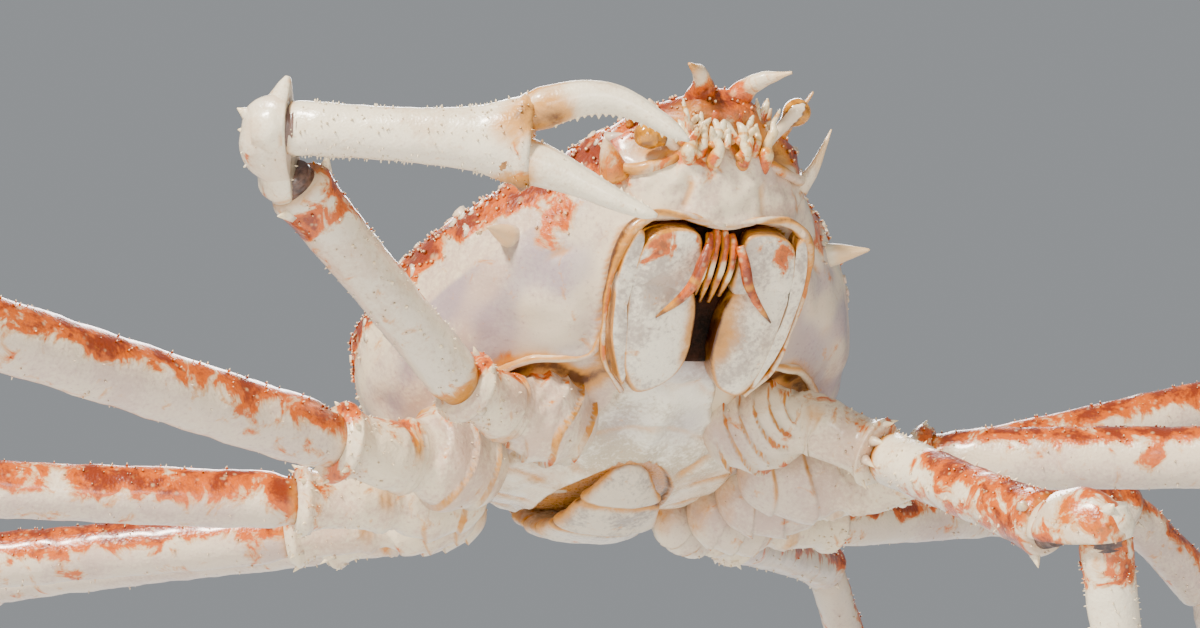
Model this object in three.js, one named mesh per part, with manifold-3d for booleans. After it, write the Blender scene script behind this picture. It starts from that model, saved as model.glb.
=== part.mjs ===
import * as THREE from "three";
import { LoftGeometry } from "three/addons/geometries/LoftGeometry.js";
import { mergeVertices } from "three/addons/utils/BufferGeometryUtils.js";
import Module from "manifold-3d";

// Japanese spider crab, life size, standing on the tips of its eight walking legs.
// Millimetres and degrees. +Z is up, the crab faces -Y and its own left is +X.

// Driving dimensions.
const CARAPACE_LENGTH = 205;
const CARAPACE_WIDTH = 192;
const BODY_HEIGHT = 360;
const BODY_PITCH = 27;
const GAP = 0.3;
const SHELL_SIDES = 36;
const LEG_SIDES = 8;

// Places on the body are given in its own frame: x to its left, y backwards, z to its back.
const FRONT_Y = -113;
const MARGIN_Z = 3;

const wasm = await Module();
wasm.setup();

const radians = THREE.MathUtils.degToRad;
const sideName = (side) => (side > 0 ? "left" : "right");
const vec = (x, y, z) => new THREE.Vector3(x, y, z);
const bodyMatrix = new THREE.Matrix4()
  .makeRotationX(-radians(BODY_PITCH))
  .setPosition(0, 0, BODY_HEIGHT);
const onBody = (x, y, z) => vec(x, y, z).applyMatrix4(bodyMatrix);
const bodyDirection = (x, y, z) => vec(x, y, z).transformDirection(bodyMatrix);

// Seeded random numbers, so that the crab comes out the same every time.
let seed = 20417;
function random(low, high) {
  seed = (seed * 1664525 + 1013904223) % 4294967296;
  return low + ((high - low) * seed) / 4294967296;
}

// Solids from three.js geometries, joined and cut.
function solidOf(geometry, matrix = null) {
  const merged = geometry.index ? geometry.toNonIndexed() : geometry.clone();
  merged.deleteAttribute("normal");
  merged.deleteAttribute("uv");
  if (matrix) merged.applyMatrix4(matrix);
  const welded = mergeVertices(merged, 1e-4);
  return new wasm.Manifold(
    new wasm.Mesh({
      numProp: 3,
      vertProperties: new Float32Array(welded.attributes.position.array),
      triVerts: new Uint32Array(welded.index.array),
    })
  );
}

function largest(solid) {
  const pieces = solid.decompose();
  return pieces.reduce((best, piece) => (piece.volume() > best.volume() ? piece : best));
}

function geometryOf(solid) {
  const mesh = solid.getMesh();
  const geometry = new THREE.BufferGeometry();
  geometry.setAttribute("position", new THREE.BufferAttribute(mesh.vertProperties, 3));
  geometry.setIndex(new THREE.BufferAttribute(mesh.triVerts, 1));
  geometry.computeVertexNormals();
  return geometry;
}

const joinAll = (solids) => solids.reduce((sum, solid) => sum.add(solid));
const cutAll = (solid, cutters) => cutters.reduce((rest, cutter) => rest.subtract(cutter), solid);

// A smooth value between rows of [position, value, value ...], by cubic Hermite spans.
function smoothAt(rows, position, column) {
  const last = rows.length - 1;
  const at = THREE.MathUtils.clamp(position, rows[0][0], rows[last][0]);
  let i = 0;
  while (i < last - 1 && at > rows[i + 1][0]) i += 1;
  const slope = (k) => {
    const a = rows[Math.max(k - 1, 0)];
    const b = rows[Math.min(k + 1, last)];
    return (b[column] - a[column]) / (b[0] - a[0]);
  };
  const span = rows[i + 1][0] - rows[i][0];
  const t = (at - rows[i][0]) / span;
  const h = t * t * (3 - 2 * t);
  return (
    rows[i][column] * (1 - h) +
    rows[i + 1][column] * h +
    slope(i) * span * t * (1 - t) * (1 - t) -
    slope(i + 1) * span * t * t * (1 - t)
  );
}

const CLOSED = { closed: true, capStart: true, capEnd: true };
const centreOf = (points) =>
  points.reduce((sum, point) => sum.add(point), vec(0, 0, 0)).divideScalar(points.length);

// A closed loft. Its sections are turned, if need be, so that the faces point outwards.
function loftOf(sections) {
  const centre = centreOf(sections[0]);
  const turned = sections[0].reduce((sum, point, i, points) => {
    const next = points[(i + 1) % points.length].clone().sub(centre);
    return sum.add(point.clone().sub(centre).cross(next));
  }, vec(0, 0, 0));
  const outwards = turned.dot(centreOf(sections[1]).sub(centre)) > 0;
  const rings = outwards ? sections : sections.map((section) => section.slice().reverse());
  return solidOf(new LoftGeometry(rings, CLOSED));
}

// A shell along a path. Each ring is { at, wide, high }: the centre and its two half widths.
// The section's first axis is across, and its second is square to across and the path.
function tubeThrough(rings, across, sides, grow = 0) {
  const sections = rings.map((ring, i) => {
    const before = rings[Math.max(i - 1, 0)].at;
    const after = rings[Math.min(i + 1, rings.length - 1)].at;
    const along = after.clone().sub(before).normalize();
    const up = along.clone().cross(across).normalize();
    const side = up.clone().cross(along).normalize();
    const section = [];
    for (let k = 0; k < sides; k += 1) {
      const angle = (2 * Math.PI * k) / sides;
      const point = ring.at
        .clone()
        .addScaledVector(side, (ring.wide + grow) * Math.cos(angle))
        .addScaledVector(up, (ring.high + grow) * Math.sin(angle));
      if (ring.normal) {
        const lift = ring.at.clone().sub(point).dot(ring.normal) / along.dot(ring.normal);
        point.addScaledVector(along, lift);
      }
      section.push(point);
    }
    return section;
  });
  return loftOf(sections);
}

// A pointed spine with its root sunk below the surface.
function spine(root, direction, length, radius, sink = 2.5, sides = 5) {
  const tip = root.clone().addScaledVector(direction, length);
  const base = root.clone().addScaledVector(direction, -sink);
  const cone = new THREE.ConeGeometry(radius, tip.distanceTo(base), sides, 1);
  const turn = new THREE.Quaternion().setFromUnitVectors(vec(0, 1, 0), direction);
  const middle = tip.add(base).multiplyScalar(0.5);
  return solidOf(cone, new THREE.Matrix4().compose(middle, turn, vec(1, 1, 1)));
}

// A large block on the far side of a plane, for trimming.
function beyond(point, normal, size = 600) {
  const turn = new THREE.Quaternion().setFromUnitVectors(vec(0, 0, 1), normal.clone().normalize());
  const middle = point.clone().addScaledVector(normal.clone().normalize(), size / 2);
  const box = new THREE.BoxGeometry(size, size, size);
  return solidOf(box, new THREE.Matrix4().compose(middle, turn, vec(1, 1, 1)));
}

function ellipsoid(centre, radii, across, along, columns = 12, rowCount = 8) {
  const up = along.clone().cross(across).normalize();
  const side = up.clone().cross(along).normalize();
  const matrix = new THREE.Matrix4().makeBasis(
    side.multiplyScalar(radii[0]),
    up.multiplyScalar(radii[1]),
    along.clone().multiplyScalar(radii[2])
  );
  matrix.setPosition(centre);
  return solidOf(new THREE.SphereGeometry(1, columns, rowCount), matrix);
}

// Carapace. Rows: share of the length from the front, half width, top, underside.
const SHELL_ROWS = [
  [0.0, 13, 15, 0],
  [0.042, 25, 20, -15],
  [0.085, 34, 23, -25],
  [0.145, 41, 27, -32],
  [0.216, 52, 31, -37],
  [0.286, 64, 36, -41],
  [0.427, 83, 43, -46],
  [0.568, 93, 47, -47],
  [0.66, CARAPACE_WIDTH / 2, 47, -47],
  [0.8, 87, 43, -40],
  [0.92, 62, 33, -27],
  [0.98, 32, 20, -14],
  [1.0, 15, 12, -5],
];
// Swollen regions of the back: x, y, reach across, reach along, rise.
const SHELL_LOBES = [
  [0, -48, 26, 30, 6],
  [0, 34, 18, 22, 5],
  [46, 14, 26, 36, 6],
  [-46, 14, 26, 36, 6],
  [34, -62, 14, 16, 3],
  [-34, -62, 14, 16, 3],
];

function shellPoint(y, angle, grow = 0) {
  const share = (y - FRONT_Y) / CARAPACE_LENGTH;
  const half = smoothAt(SHELL_ROWS, share, 1) + grow;
  const top = smoothAt(SHELL_ROWS, share, 2) + grow;
  const under = smoothAt(SHELL_ROWS, share, 3) - grow;
  const cos = Math.cos(angle);
  const sin = Math.sin(angle);
  const x = half * Math.sign(cos) * Math.abs(cos) ** 0.9;
  if (sin < 0) return onBody(x, y, MARGIN_Z - (MARGIN_Z - under) * Math.abs(sin) ** 0.85);
  let z = MARGIN_Z + (top - MARGIN_Z) * sin ** 0.95;
  for (const [cx, cy, rx, ry, rise] of SHELL_LOBES) {
    z += rise * sin * Math.exp(-(((x - cx) / rx) ** 2) - ((y - cy) / ry) ** 2);
  }
  return onBody(x, y, z);
}

function shellNormal(y, angle) {
  const step = 1.5;
  const turn = 0.04;
  const along = shellPoint(y + step, angle).sub(shellPoint(y - step, angle));
  const around = shellPoint(y, angle + turn).sub(shellPoint(y, angle - turn));
  return along.cross(around).negate().normalize();
}

const SHELL_STATIONS = [
  0, 0.025, 0.06, 0.11, 0.17, 0.24, 0.31, 0.38, 0.46, 0.54, 0.62, 0.7, 0.78, 0.85, 0.91, 0.955, 0.985, 1,
];
function trunk(grow) {
  const sections = [];
  for (const share of SHELL_STATIONS) {
    const end = share === 0 ? -grow : share === 1 ? grow : 0;
    const y = FRONT_Y + share * CARAPACE_LENGTH;
    const section = [];
    for (let k = 0; k < SHELL_SIDES; k += 1) {
      const point = shellPoint(y, (2 * Math.PI * k) / SHELL_SIDES, grow);
      section.push(point.addScaledVector(bodyDirection(0, 1, 0), end));
    }
    sections.push(section);
  }
  return loftOf(sections);
}

// The mouth field: a plane that slopes up and forwards, with its own two axes.
const MOUTH_SLOPE = 25.4;
const MOUTH_MIDDLE = [0, -65.5, -42.5];
const mouthUp = [0, -Math.cos(radians(MOUTH_SLOPE)), Math.sin(radians(MOUTH_SLOPE))];
const mouthOut = [0, -Math.sin(radians(MOUTH_SLOPE)), -Math.cos(radians(MOUTH_SLOPE))];
// across runs to the crab's left, up towards the front, out away from the body
function onMouth(across, up, out) {
  return onBody(
    MOUTH_MIDDLE[0] + across,
    MOUTH_MIDDLE[1] + up * mouthUp[1] + out * mouthOut[1],
    MOUTH_MIDDLE[2] + up * mouthUp[2] + out * mouthOut[2]
  );
}

// A plate with its outline in the mouth's plane, between two depths.
function mouthPlate(outline, inner, outer, inset = 0) {
  const centre = outline.reduce((sum, p) => [sum[0] + p[0], sum[1] + p[1]], [0, 0]);
  const middle = centre.map((value) => value / outline.length);
  const level = (out, shrink) =>
    outline.map(([u, v]) => {
      const du = middle[0] - u;
      const dv = middle[1] - v;
      const reach = Math.hypot(du, dv);
      return onMouth(u + (du * shrink) / reach, v + (dv * shrink) / reach, out);
    });
  const rim = outer - Math.max(inset, 0.01);
  return loftOf([level(inner, 0), level(rim, 0), level(outer, inset)]);
}

const MOUTH_HALF = 35;
function mouthOutline(grow) {
  const half = MOUTH_HALF + grow;
  return [
    [0, -19 - grow], [12, -33 - grow], [22, -35 - grow], [31 + grow, -24 - grow],
    [half - 1, -8], [half, 8], [half - 2, 22 + grow], [26, 28.5 + grow], [14, 31 + grow],
    [0, 29 + grow], [-14, 31 + grow], [-26, 28.5 + grow], [-half + 2, 22 + grow],
    [-half, 8], [-half + 1, -8], [-31 - grow, -24 - grow], [-22, -35 - grow],
    [-12, -33 - grow],
  ];
}

// Breastplate outline, rows of y and half width, and its depth range.
const STERNUM_ROWS = [
  [-46, 5], [-36, 13], [-25, 20], [-9, 25], [3, 38], [14, 48], [28, 53], [44, 54],
  [58, 50], [70, 43], [80, 32], [87, 18],
];
const STERNUM_PROUD = 2.5;
function sternumBlock(grow) {
  const level = (z) => {
    const right = STERNUM_ROWS.map(([y, half]) => [half + grow, y]);
    right[0][1] -= grow;
    right[right.length - 1][1] += grow;
    const left = right.map(([x, y]) => [-x, y]).reverse();
    return [...right, ...left].map(([x, y]) => onBody(x, y, z));
  };
  return loftOf([level(-75), level(-24 + grow)]);
}

// Abdomen: the narrow folded tail plate, from its tip under the breast to the shell's rear edge.
const ABDOMEN_RINGS = [
  [19, -48, 3, 2.5], [24, -49.5, 8, 3.5], [30, -51, 12.5, 4.5], [36, -52, 16, 5],
  [37.5, -51.8, 15.2, 4.6], [45, -51.5, 18.5, 5.3], [53, -49.5, 20, 5.5], [54.5, -49, 19.2, 5],
  [64, -44.5, 20, 5.5], [71, -39.8, 20, 5.5], [72.3, -38.8, 19.2, 5], [80, -31.5, 20, 5.5],
  [86, -24.5, 20, 5.5], [87, -23, 19.2, 5], [93, -14, 19, 5], [97, -6, 18, 4.5],
  [97.6, -4, 17, 4], [98, 1, 15, 3.5],
];
function abdomenPlate(grow) {
  const rings = ABDOMEN_RINGS.map(([y, z, wide, high]) => ({ at: onBody(0, y, z), wide, high }));
  return tubeThrough(rings, bodyDirection(1, 0, 0), 14, grow);
}

// Eyes on short stalks, the left one raised and the right one lowered: root, neck, middle of the ball.
const EYES = {
  right: [[13, -101, -5.5], [20.5, -107, -4.8], [28.4, -107.5, -3.6]],
  left: [[13, -101, -4.5], [20, -109, 0.2], [28.2, -114, 6.6]],
};
function eye(side, grow) {
  const [root, neck, tip] = EYES[sideName(side)].map(([x, y, z]) => onBody(side * x, y, z));
  const along = tip.clone().sub(root).normalize();
  const up = bodyDirection(0, 0, 1);
  const across = along.clone().cross(up).normalize();
  const stalk = tubeThrough(
    [
      { at: root, wide: 4.2, high: 4.2 },
      { at: neck, wide: 3.2, high: 3.2 },
      { at: neck.clone().lerp(tip, 0.6), wide: 4, high: 4 },
    ],
    across,
    10,
    grow
  );
  const ball = 4.7 + grow;
  return stalk.add(ellipsoid(tip, [ball, ball, ball * 1.15], across, along));
}

// Feelers: a jointed stout stalk with a short whip, and the small folded feelers beside it.
// Rows of x, y, z and radius.
const STALK_ROWS = [
  [13, -96, -13, 3.4], [14, -104.5, -11.5, 3.1], [14.2, -108.5, -9.6, 2.7], [14.6, -111, -7, 2.3],
  [15.4, -113.5, -4.5, 1.6], [16.6, -116, -1.6, 0.9], [18.8, -119, 2.4, 0.5],
];
const FOLDED_ROWS = [
  [5.2, -98, -11, 2.9], [5.4, -106, -12.5, 2.7], [5.2, -110.5, -10, 2.5], [4.8, -113, -6.5, 2.1],
  [4.5, -114, -3.4, 1.7], [4.4, -114, -1, 0.9],
];
const PALP_ROWS = [
  [9.6, -101, -10, 2.6], [9.9, -108.5, -8.5, 2.1], [10.2, -112, -5.2, 1.6], [10.6, -113.6, -2, 0.8],
];
function feeler(side, grow) {
  const limbOf = (rows) =>
    tubeThrough(
      rows.map(([x, y, z, size]) => ({ at: onBody(side * x, y, z), wide: size, high: size })),
      bodyDirection(1, 0, 0),
      5,
      grow
    );
  const bridge = ellipsoid(
    onBody(side * 9.5, -102, -12),
    [6.5 + grow, 3 + grow, 3.4 + grow],
    bodyDirection(1, 0, 0),
    bodyDirection(0, 1, 0),
    8,
    6
  );
  return joinAll([limbOf(STALK_ROWS), limbOf(FOLDED_ROWS), limbOf(PALP_ROWS), bridge]);
}

// Outer jaw legs: two plates that close the mouth field, each with a folded palp.
function jaw(side) {
  const mirrored = (outline) => (side > 0 ? outline : outline.map(([u, v]) => [-u, v]).reverse());
  const base = mouthPlate(
    mirrored([
      [0.6, -19], [4, -24], [11.5, -32.4], [21, -34.4], [30, -24], [33.6, -8], [34.6, 8],
      [32.4, 21.6], [25.6, 28], [14, 30.4], [0.6, 28.4],
    ]),
    -7,
    -3
  );
  const inner = mouthPlate(
    mirrored([
      [2, -1], [1, -20], [5, -25], [12, -31], [20, -32.5], [24.5, -24], [27.5, -10], [29, 1],
      [28, 4.5], [16, 3],
    ]),
    -6,
    1.5,
    2
  );
  const upper = mouthPlate(
    mirrored([[10, 4], [28, 5.5], [28.5, 14], [25.5, 23], [16, 25.5], [8, 24], [5, 14]]),
    -6,
    1,
    2
  );
  const outside = mouthPlate(
    mirrored([[25.5, -22], [29, -21], [32, -8], [33.5, 6], [32, 20], [29.6, 20], [31, 6], [29, -9]]),
    -6,
    0.5,
    1
  );
  const palpPath = [[7.5, 22, 0], [9.5, 15, 4], [8, 7, 6.5], [12, 1, 6], [19, -5.5, 3.5]];
  const palpSize = [3.2, 3.4, 3, 2.4, 0.9];
  const palp = tubeThrough(
    palpPath.map(([u, v, out], i) => ({
      at: onMouth(side * u, v, out),
      wide: palpSize[i],
      high: palpSize[i],
    })),
    bodyDirection(1, 0, 0),
    8
  );
  return joinAll([base, inner, upper, outside, palp]);
}

// Carapace spines: rows in pairs, then seeded small ones between them.
const HORN_LENGTH = 19;
// y, angle up from the side margin, length, root radius, lean forwards
const PAIRED_SPINES = [
  [-103, 62, 9, 3.4, 0.9], [-93, 12, 15, 3.2, 1.6], [-84, 78, 8, 3, 0.3],
  [-80, 40, 8, 3, 0.5], [-64, -8, 17, 5, 0.7], [-60, 66, 11, 3.6, 0.3],
  [-46, 20, 9, 3.4, 0.4], [-42, 4, 11, 3.8, 0.5], [-34, 76, 9, 3.4, 0.1],
  [-28, 38, 10, 3.6, 0.3], [-20, 4, 10, 3.8, 0.4], [-6, 22, 11, 4, 0.2],
  [0, 58, 9, 3.6, 0.1], [4, 2, 10, 3.8, 0.3], [20, 36, 11, 4, 0.1],
  [26, 8, 10, 3.8, 0.1], [34, 64, 9, 3.6, 0], [48, 14, 10, 3.8, -0.1],
  [52, 42, 10, 3.6, -0.1], [68, 24, 9, 3.4, -0.3], [74, 60, 8, 3.2, -0.3],
];
const MIDDLE_SPINES = [
  [-92, 8, 3], [-70, 11, 3.6], [-48, 13, 4], [-26, 10, 3.6], [8, 11, 3.8],
  [34, 13, 4], [58, 10, 3.6], [80, 11, 3.6],
];
const SMALL_SPINES = 18;
const SMALL_SPINE_RADIUS = 2.4;

function carapaceSpines() {
  const spines = [];
  const grow = (y, degrees, length, radius, lean) => {
    const angle = radians(degrees);
    const direction = shellNormal(y, angle)
      .addScaledVector(bodyDirection(0, -1, 0), lean)
      .normalize();
    const sides = radius < SMALL_SPINE_RADIUS + 0.1 ? 4 : 5;
    spines.push(spine(shellPoint(y, angle), direction, length, radius, 2.5, sides));
  };
  for (const [y, degrees, length, radius, lean] of PAIRED_SPINES) {
    for (const angle of [degrees, 180 - degrees]) {
      grow(y + random(-1, 1), angle, length * random(0.9, 1.1), radius, lean);
    }
  }
  for (const [y, length, radius] of MIDDLE_SPINES) grow(y, 90, length, radius, 0.15);
  for (let i = 0; i < SMALL_SPINES; i += 1) {
    grow(random(-90, 80), random(8, 172), random(3.5, 5.5), SMALL_SPINE_RADIUS, 0.1);
  }
  return spines;
}

function horns() {
  return [-1, 1].flatMap((side) => {
    const tip = onBody(side * 19.3, -113 - HORN_LENGTH, 7.5);
    const beak = tubeThrough(
      [
        { at: onBody(side * 6, -104, 10), wide: 7, high: 6.5 },
        { at: onBody(side * 7, -115, 11), wide: 5.2, high: 5 },
        { at: onBody(side * 10.5, -122.5, 10.5), wide: 3.6, high: 3.4 },
        { at: tip, wide: 0.5, high: 0.5 },
      ],
      bodyDirection(1, 0, 0),
      8
    );
    const brow = spine(onBody(side * 20, -103, 12), bodyDirection(side * 0.45, -0.8, 0.4), 6, 3.6);
    const socket = spine(onBody(side * 35, -91, -6), bodyDirection(side * 0.42, -0.85, 0.42), 19, 3.6);
    return [beak, brow, socket];
  });
}

// Limbs. Every segment runs from one joint to the next along a yaw and a rise:
// yaw turns from the crab's side towards its front, and rise is the angle above level.
function heading(side, yaw, rise) {
  const level = Math.cos(radians(rise));
  return vec(
    side * level * Math.cos(radians(yaw)),
    -level * Math.sin(radians(yaw)),
    Math.sin(radians(rise))
  );
}

function chain(side, socket, lengths, angles) {
  const joints = [onBody(side * socket[0], socket[1], socket[2])];
  lengths.forEach((length, i) => {
    const step = heading(side, angles[i][0], angles[i][1]).multiplyScalar(length);
    joints.push(joints[i].clone().add(step));
  });
  return joints;
}

// The hinge axis of a level limb: square to its heading, in the floor's plane.
const hingeOf = (along) => vec(-along.y, along.x, 0).normalize();

// Normal of the cut between two segments, halfway round their bend.
function mitre(before, joint, after) {
  const a = joint.clone().sub(before).normalize();
  const b = after.clone().sub(joint).normalize();
  return a.add(b).normalize();
}

// A limb segment: rows of share, thickness. Its ends are cut square to the bend.
function segment(from, to, wide, high, rows, across, startNormal, endNormal, endGap = GAP / 2) {
  const along = to.clone().sub(from).normalize();
  const start = from.clone().addScaledVector(along, GAP / 2);
  const end = to.clone().addScaledVector(along, -endGap);
  const rings = rows.map(([share, size], i) => ({
    at: start.clone().lerp(end, share),
    wide: wide * size,
    high: high * size,
    normal: i === 0 ? startNormal : i === rows.length - 1 ? endNormal : null,
  }));
  return tubeThrough(rings, across, LEG_SIDES);
}

// Small teeth round the far end of a segment. With grow they cut their room in the next one.
const TOOTH_ANGLES = [65, 115, 215, 260, 310];
const TOOTH_LENGTH = 5;
function collarTeeth(end, along, across, wide, high, grow = 0) {
  const up = along.clone().cross(across).normalize();
  const side = up.clone().cross(along).normalize();
  return TOOTH_ANGLES.map((degrees) => {
    const angle = radians(degrees);
    const out = side
      .clone()
      .multiplyScalar(Math.cos(angle))
      .addScaledVector(up, Math.sin(angle));
    const root = end
      .clone()
      .addScaledVector(along, -4)
      .addScaledVector(side, wide * 0.98 * Math.cos(angle))
      .addScaledVector(up, high * 0.98 * Math.sin(angle));
    const direction = along.clone().addScaledVector(out, 0.75).normalize();
    return spine(root, direction, TOOTH_LENGTH + 2.5 * grow, 2.2 + 1.4 * grow, 2);
  });
}

// The base of a limb: the coxa, a waist, and the short second piece with its toothed collar.
const BASE_ROWS = [[-0.28, 0.5], [-0.08, 0.92], [0.42, 1.04], [0.62, 0.9], [0.74, 0.72]];
function limbBase(limb, grow) {
  const [socket, knee, end, after] = limb.joints;
  const coxa = knee.clone().sub(socket);
  const ischium = end.clone().sub(knee);
  const across = hingeOf(coxa);
  const rings = BASE_ROWS.map(([share, size]) => ({
    at: socket.clone().addScaledVector(coxa, share),
    wide: limb.coxaWide * size,
    high: limb.coxaHigh * size,
  }));
  const ischiumRows = [[0.0, 0.98], [0.14, 1.06], [0.6, 0.98], [0.9, 1.14], [1, 1.04]];
  for (const [share, size] of ischiumRows) {
    const last = share === 1;
    rings.push({
      at: knee.clone().addScaledVector(ischium, share - (last ? GAP / 2 / ischium.length() : 0)),
      wide: limb.wide * size,
      high: limb.high * size,
      normal: last ? mitre(knee, end, after) : null,
    });
  }
  return tubeThrough(rings, across, LEG_SIDES, grow);
}

const MERUS_ROWS = [
  [0, 0.82], [0.015, 0.84], [0.04, 0.97], [0.1, 1], [0.45, 0.97], [0.85, 1.02], [0.94, 1.1],
  [0.975, 1.14], [1, 0.98],
];
const CARPUS_ROWS = [[0, 0.8], [0.05, 0.84], [0.16, 0.98], [0.5, 1.0], [0.86, 1.08], [0.94, 1.12], [1, 0.96]];
const PROPODUS_ROWS = [[0, 0.74], [0.02, 0.78], [0.06, 0.94], [0.3, 0.92], [0.75, 0.76], [0.95, 0.78], [0.985, 0.8], [1, 0.7]];
const DACTYL_ROWS = [[0, 0.6], [0.04, 0.64], [0.1, 0.68], [0.4, 0.56], [0.75, 0.36], [0.93, 0.2], [1, 0.13]];

const LEG_LENGTHS = { coxa: 38, ischium: 28, merus: 225, carpus: 75, propodus: 205, dactyl: 130 };
const DACTYL_RISE = -82;
// Each walking leg: socket, size against the first leg, thickness, and for each side
// the yaw and rise of the coxa, the ischium and the merus.
const WALKING_LEGS = [
  {
    socket: [58, 24, -44], scale: 1, thick: 11.3, coxa: [12.5, 17.5],
    right: [[21.5, -3], [20, 6.5], [23.5, 8.8]],
    left: [[24, -11], [44, 11.6], [35.9, -3.9]],
  },
  {
    socket: [58, 46, -40], scale: 0.98, thick: 10, coxa: [11.5, 16.5],
    right: [[9.8, -9.8], [-3, -2], [-9.8, 2.7]],
    left: [[9, 2], [13, 12], [17, 11]],
  },
  {
    socket: [54, 66, -34], scale: 0.93, thick: 10.2, coxa: [10.5, 15],
    right: [[-14, -9], [-22, -8], [-27, -2]],
    left: [[-12, -4], [-18, 4], [-23, 6]],
  },
  {
    socket: [44, 80, -26], scale: 0.85, thick: 9.4, coxa: [9.5, 13],
    right: [[-38, -8], [-48, -4], [-56, 1]],
    left: [[-36, -6], [-46, 0], [-52, 3]],
  },
];

// Rise of the propodus that brings the tip of the leg down to the floor.
function kneeRise(height, lengths) {
  let low = -88;
  let high = 0;
  for (let i = 0; i < 50; i += 1) {
    const rise = (low + high) / 2;
    const drop =
      lengths[3] * Math.sin(radians(rise * 0.5)) +
      lengths[4] * Math.sin(radians(rise)) +
      lengths[5] * Math.sin(radians(DACTYL_RISE));
    if (height + drop > 0) high = rise;
    else low = rise;
  }
  return (low + high) / 2;
}

function walkingLeg(leg, side) {
  const angles = (side > 0 ? leg.left : leg.right).slice();
  const lengths = Object.values(LEG_LENGTHS).map((length) => length * leg.scale);
  const start = chain(side, leg.socket, lengths.slice(0, 3), angles);
  const rise = kneeRise(start[3].z, lengths);
  const yaw = angles[2][0];
  angles.push([yaw, rise * 0.5], [yaw, rise], [yaw, DACTYL_RISE]);
  return {
    side,
    joints: chain(side, leg.socket, lengths, angles),
    wide: leg.thick * 0.95,
    high: leg.thick * 1.04,
    coxaWide: leg.coxa[0],
    coxaHigh: leg.coxa[1],
  };
}

const body = new THREE.Group();
const finishes = {
  carapace: { color: 0xb4532a, roughness: 0.6 },
  sternum: { color: 0xe9e2d3, roughness: 0.5 },
  abdomen: { color: 0xd9cfbc, roughness: 0.55 },
  jaw: { color: 0xe6dccb, roughness: 0.5 },
  feeler: { color: 0xe2cfa8, roughness: 0.5 },
  eye: { color: 0x8a6a24, roughness: 0.25 },
  leg: { color: 0xdd8f5e, roughness: 0.5 },
  claw: { color: 0xf0e4cc, roughness: 0.45 },
};
const parts = [];
function place(name, solid, finish) {
  const kept = largest(solid);
  const mesh = new THREE.Mesh(
    geometryOf(kept),
    new THREE.MeshStandardMaterial({ ...finishes[finish], metalness: 0 })
  );
  mesh.name = name;
  body.add(mesh);
  parts.push(kept);
}

// Body pieces, cut to each other with the joint gap.
const eyeCutters = [-1, 1].map((side) => eye(side, GAP));
const feelerCutters = [-1, 1].map((side) => feeler(side, GAP));
const mouthPocket = mouthPlate(mouthOutline(GAP * 2), -7 - GAP, 30);
const abdomen = abdomenPlate(0);
const abdomenCutter = abdomenPlate(GAP);
const sternum = sternumBlock(0)
  .intersect(trunk(STERNUM_PROUD))
  .subtract(abdomenCutter)
  .subtract(mouthPocket);
const sternumCutter = sternumBlock(GAP);
const shell = joinAll([trunk(0), ...horns(), ...carapaceSpines()]);

place(
  "carapace",
  cutAll(shell, [sternumCutter, mouthPocket, abdomenCutter, ...eyeCutters, ...feelerCutters]),
  "carapace"
);
place("sternum", sternum, "sternum");
place("abdomen", abdomen, "abdomen");
for (const side of [-1, 1]) {
  place(`eye_${sideName(side)}`, eye(side, 0), "eye");
  place(`feelers_${sideName(side)}`, feeler(side, 0).subtract(eyeCutters[side > 0 ? 1 : 0]), "feeler");
  place(`jaw_leg_${sideName(side)}`, jaw(side), "jaw");
}

// Everything that a limb's base has to clear.
const trunkCutter = trunk(GAP).add(sternumBlock(GAP).intersect(trunk(STERNUM_PROUD + GAP)));

function layLimb(name, limb, neighbours, finish) {
  const ischiumEnd = limb.joints[2];
  const bend = mitre(limb.joints[1], ischiumEnd, limb.joints[3]);
  const base = cutAll(limbBase(limb, 0), [
    trunkCutter,
    abdomenCutter,
    beyond(ischiumEnd.clone().addScaledVector(bend, -GAP / 2), bend),
    ...neighbours,
  ]);
  const ischiumAlong = ischiumEnd.clone().sub(limb.joints[1]).normalize();
  const hinge = hingeOf(ischiumAlong);
  const teeth = (grow) =>
    collarTeeth(ischiumEnd, ischiumAlong, hinge, limb.wide, limb.high, grow);
  place(`${name}_base`, joinAll([base, ...teeth(0)]), finish);
  return [
    beyond(ischiumEnd.clone().addScaledVector(bend, GAP / 2), bend.clone().negate()),
    ...teeth(GAP),
  ];
}

const LEG_SEGMENTS = [
  ["merus", MERUS_ROWS],
  ["carpus", CARPUS_ROWS],
  ["propodus", PROPODUS_ROWS],
  ["dactyl", DACTYL_ROWS],
];
function layWalkingLeg(name, limb, teethCutters) {
  LEG_SEGMENTS.forEach(([part, rows], i) => {
    const [before, from, to, after] = [1, 2, 3, 4].map((step) => limb.joints[i + step]);
    const along = to.clone().sub(from);
    const endNormal = after ? mitre(from, to, after) : vec(0, 0, -1);
    const solid = segment(
      from, to, limb.wide, limb.high, rows, hingeOf(along), mitre(before, from, to), endNormal,
      after ? GAP / 2 : 0
    );
    place(`${name}_${part}`, i === 0 ? cutAll(solid, teethCutters) : solid, "leg");
  });
}

// Chelipeds: socket, lengths, and the yaw and rise of every segment.
const CLAW_LENGTHS = { coxa: 32, ischium: 27, merus: 100, carpus: 24, palm: 77, finger: 49 };
const CLAW_THICK = 10.2;
const CLAW_SOCKET = [32, -1, -44];
const CLAW_POSES = {
  right: [[28, 1.5], [34.9, 9.5], [33.4, 32.6], [68.8, 32.6], [154.7, -5.2], [160.1, -1.3]],
  left: [[34.3, -3.7], [28.5, -28.6], [83, -23], [70, -18], [-56, -72], [-58, -70]],
};
// The broad side of each palm faces this way.
const PALM_ACROSS = { right: vec(0.38, 0.9, 0.1), left: vec(-0.38, -0.9, -0.2) };

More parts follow.
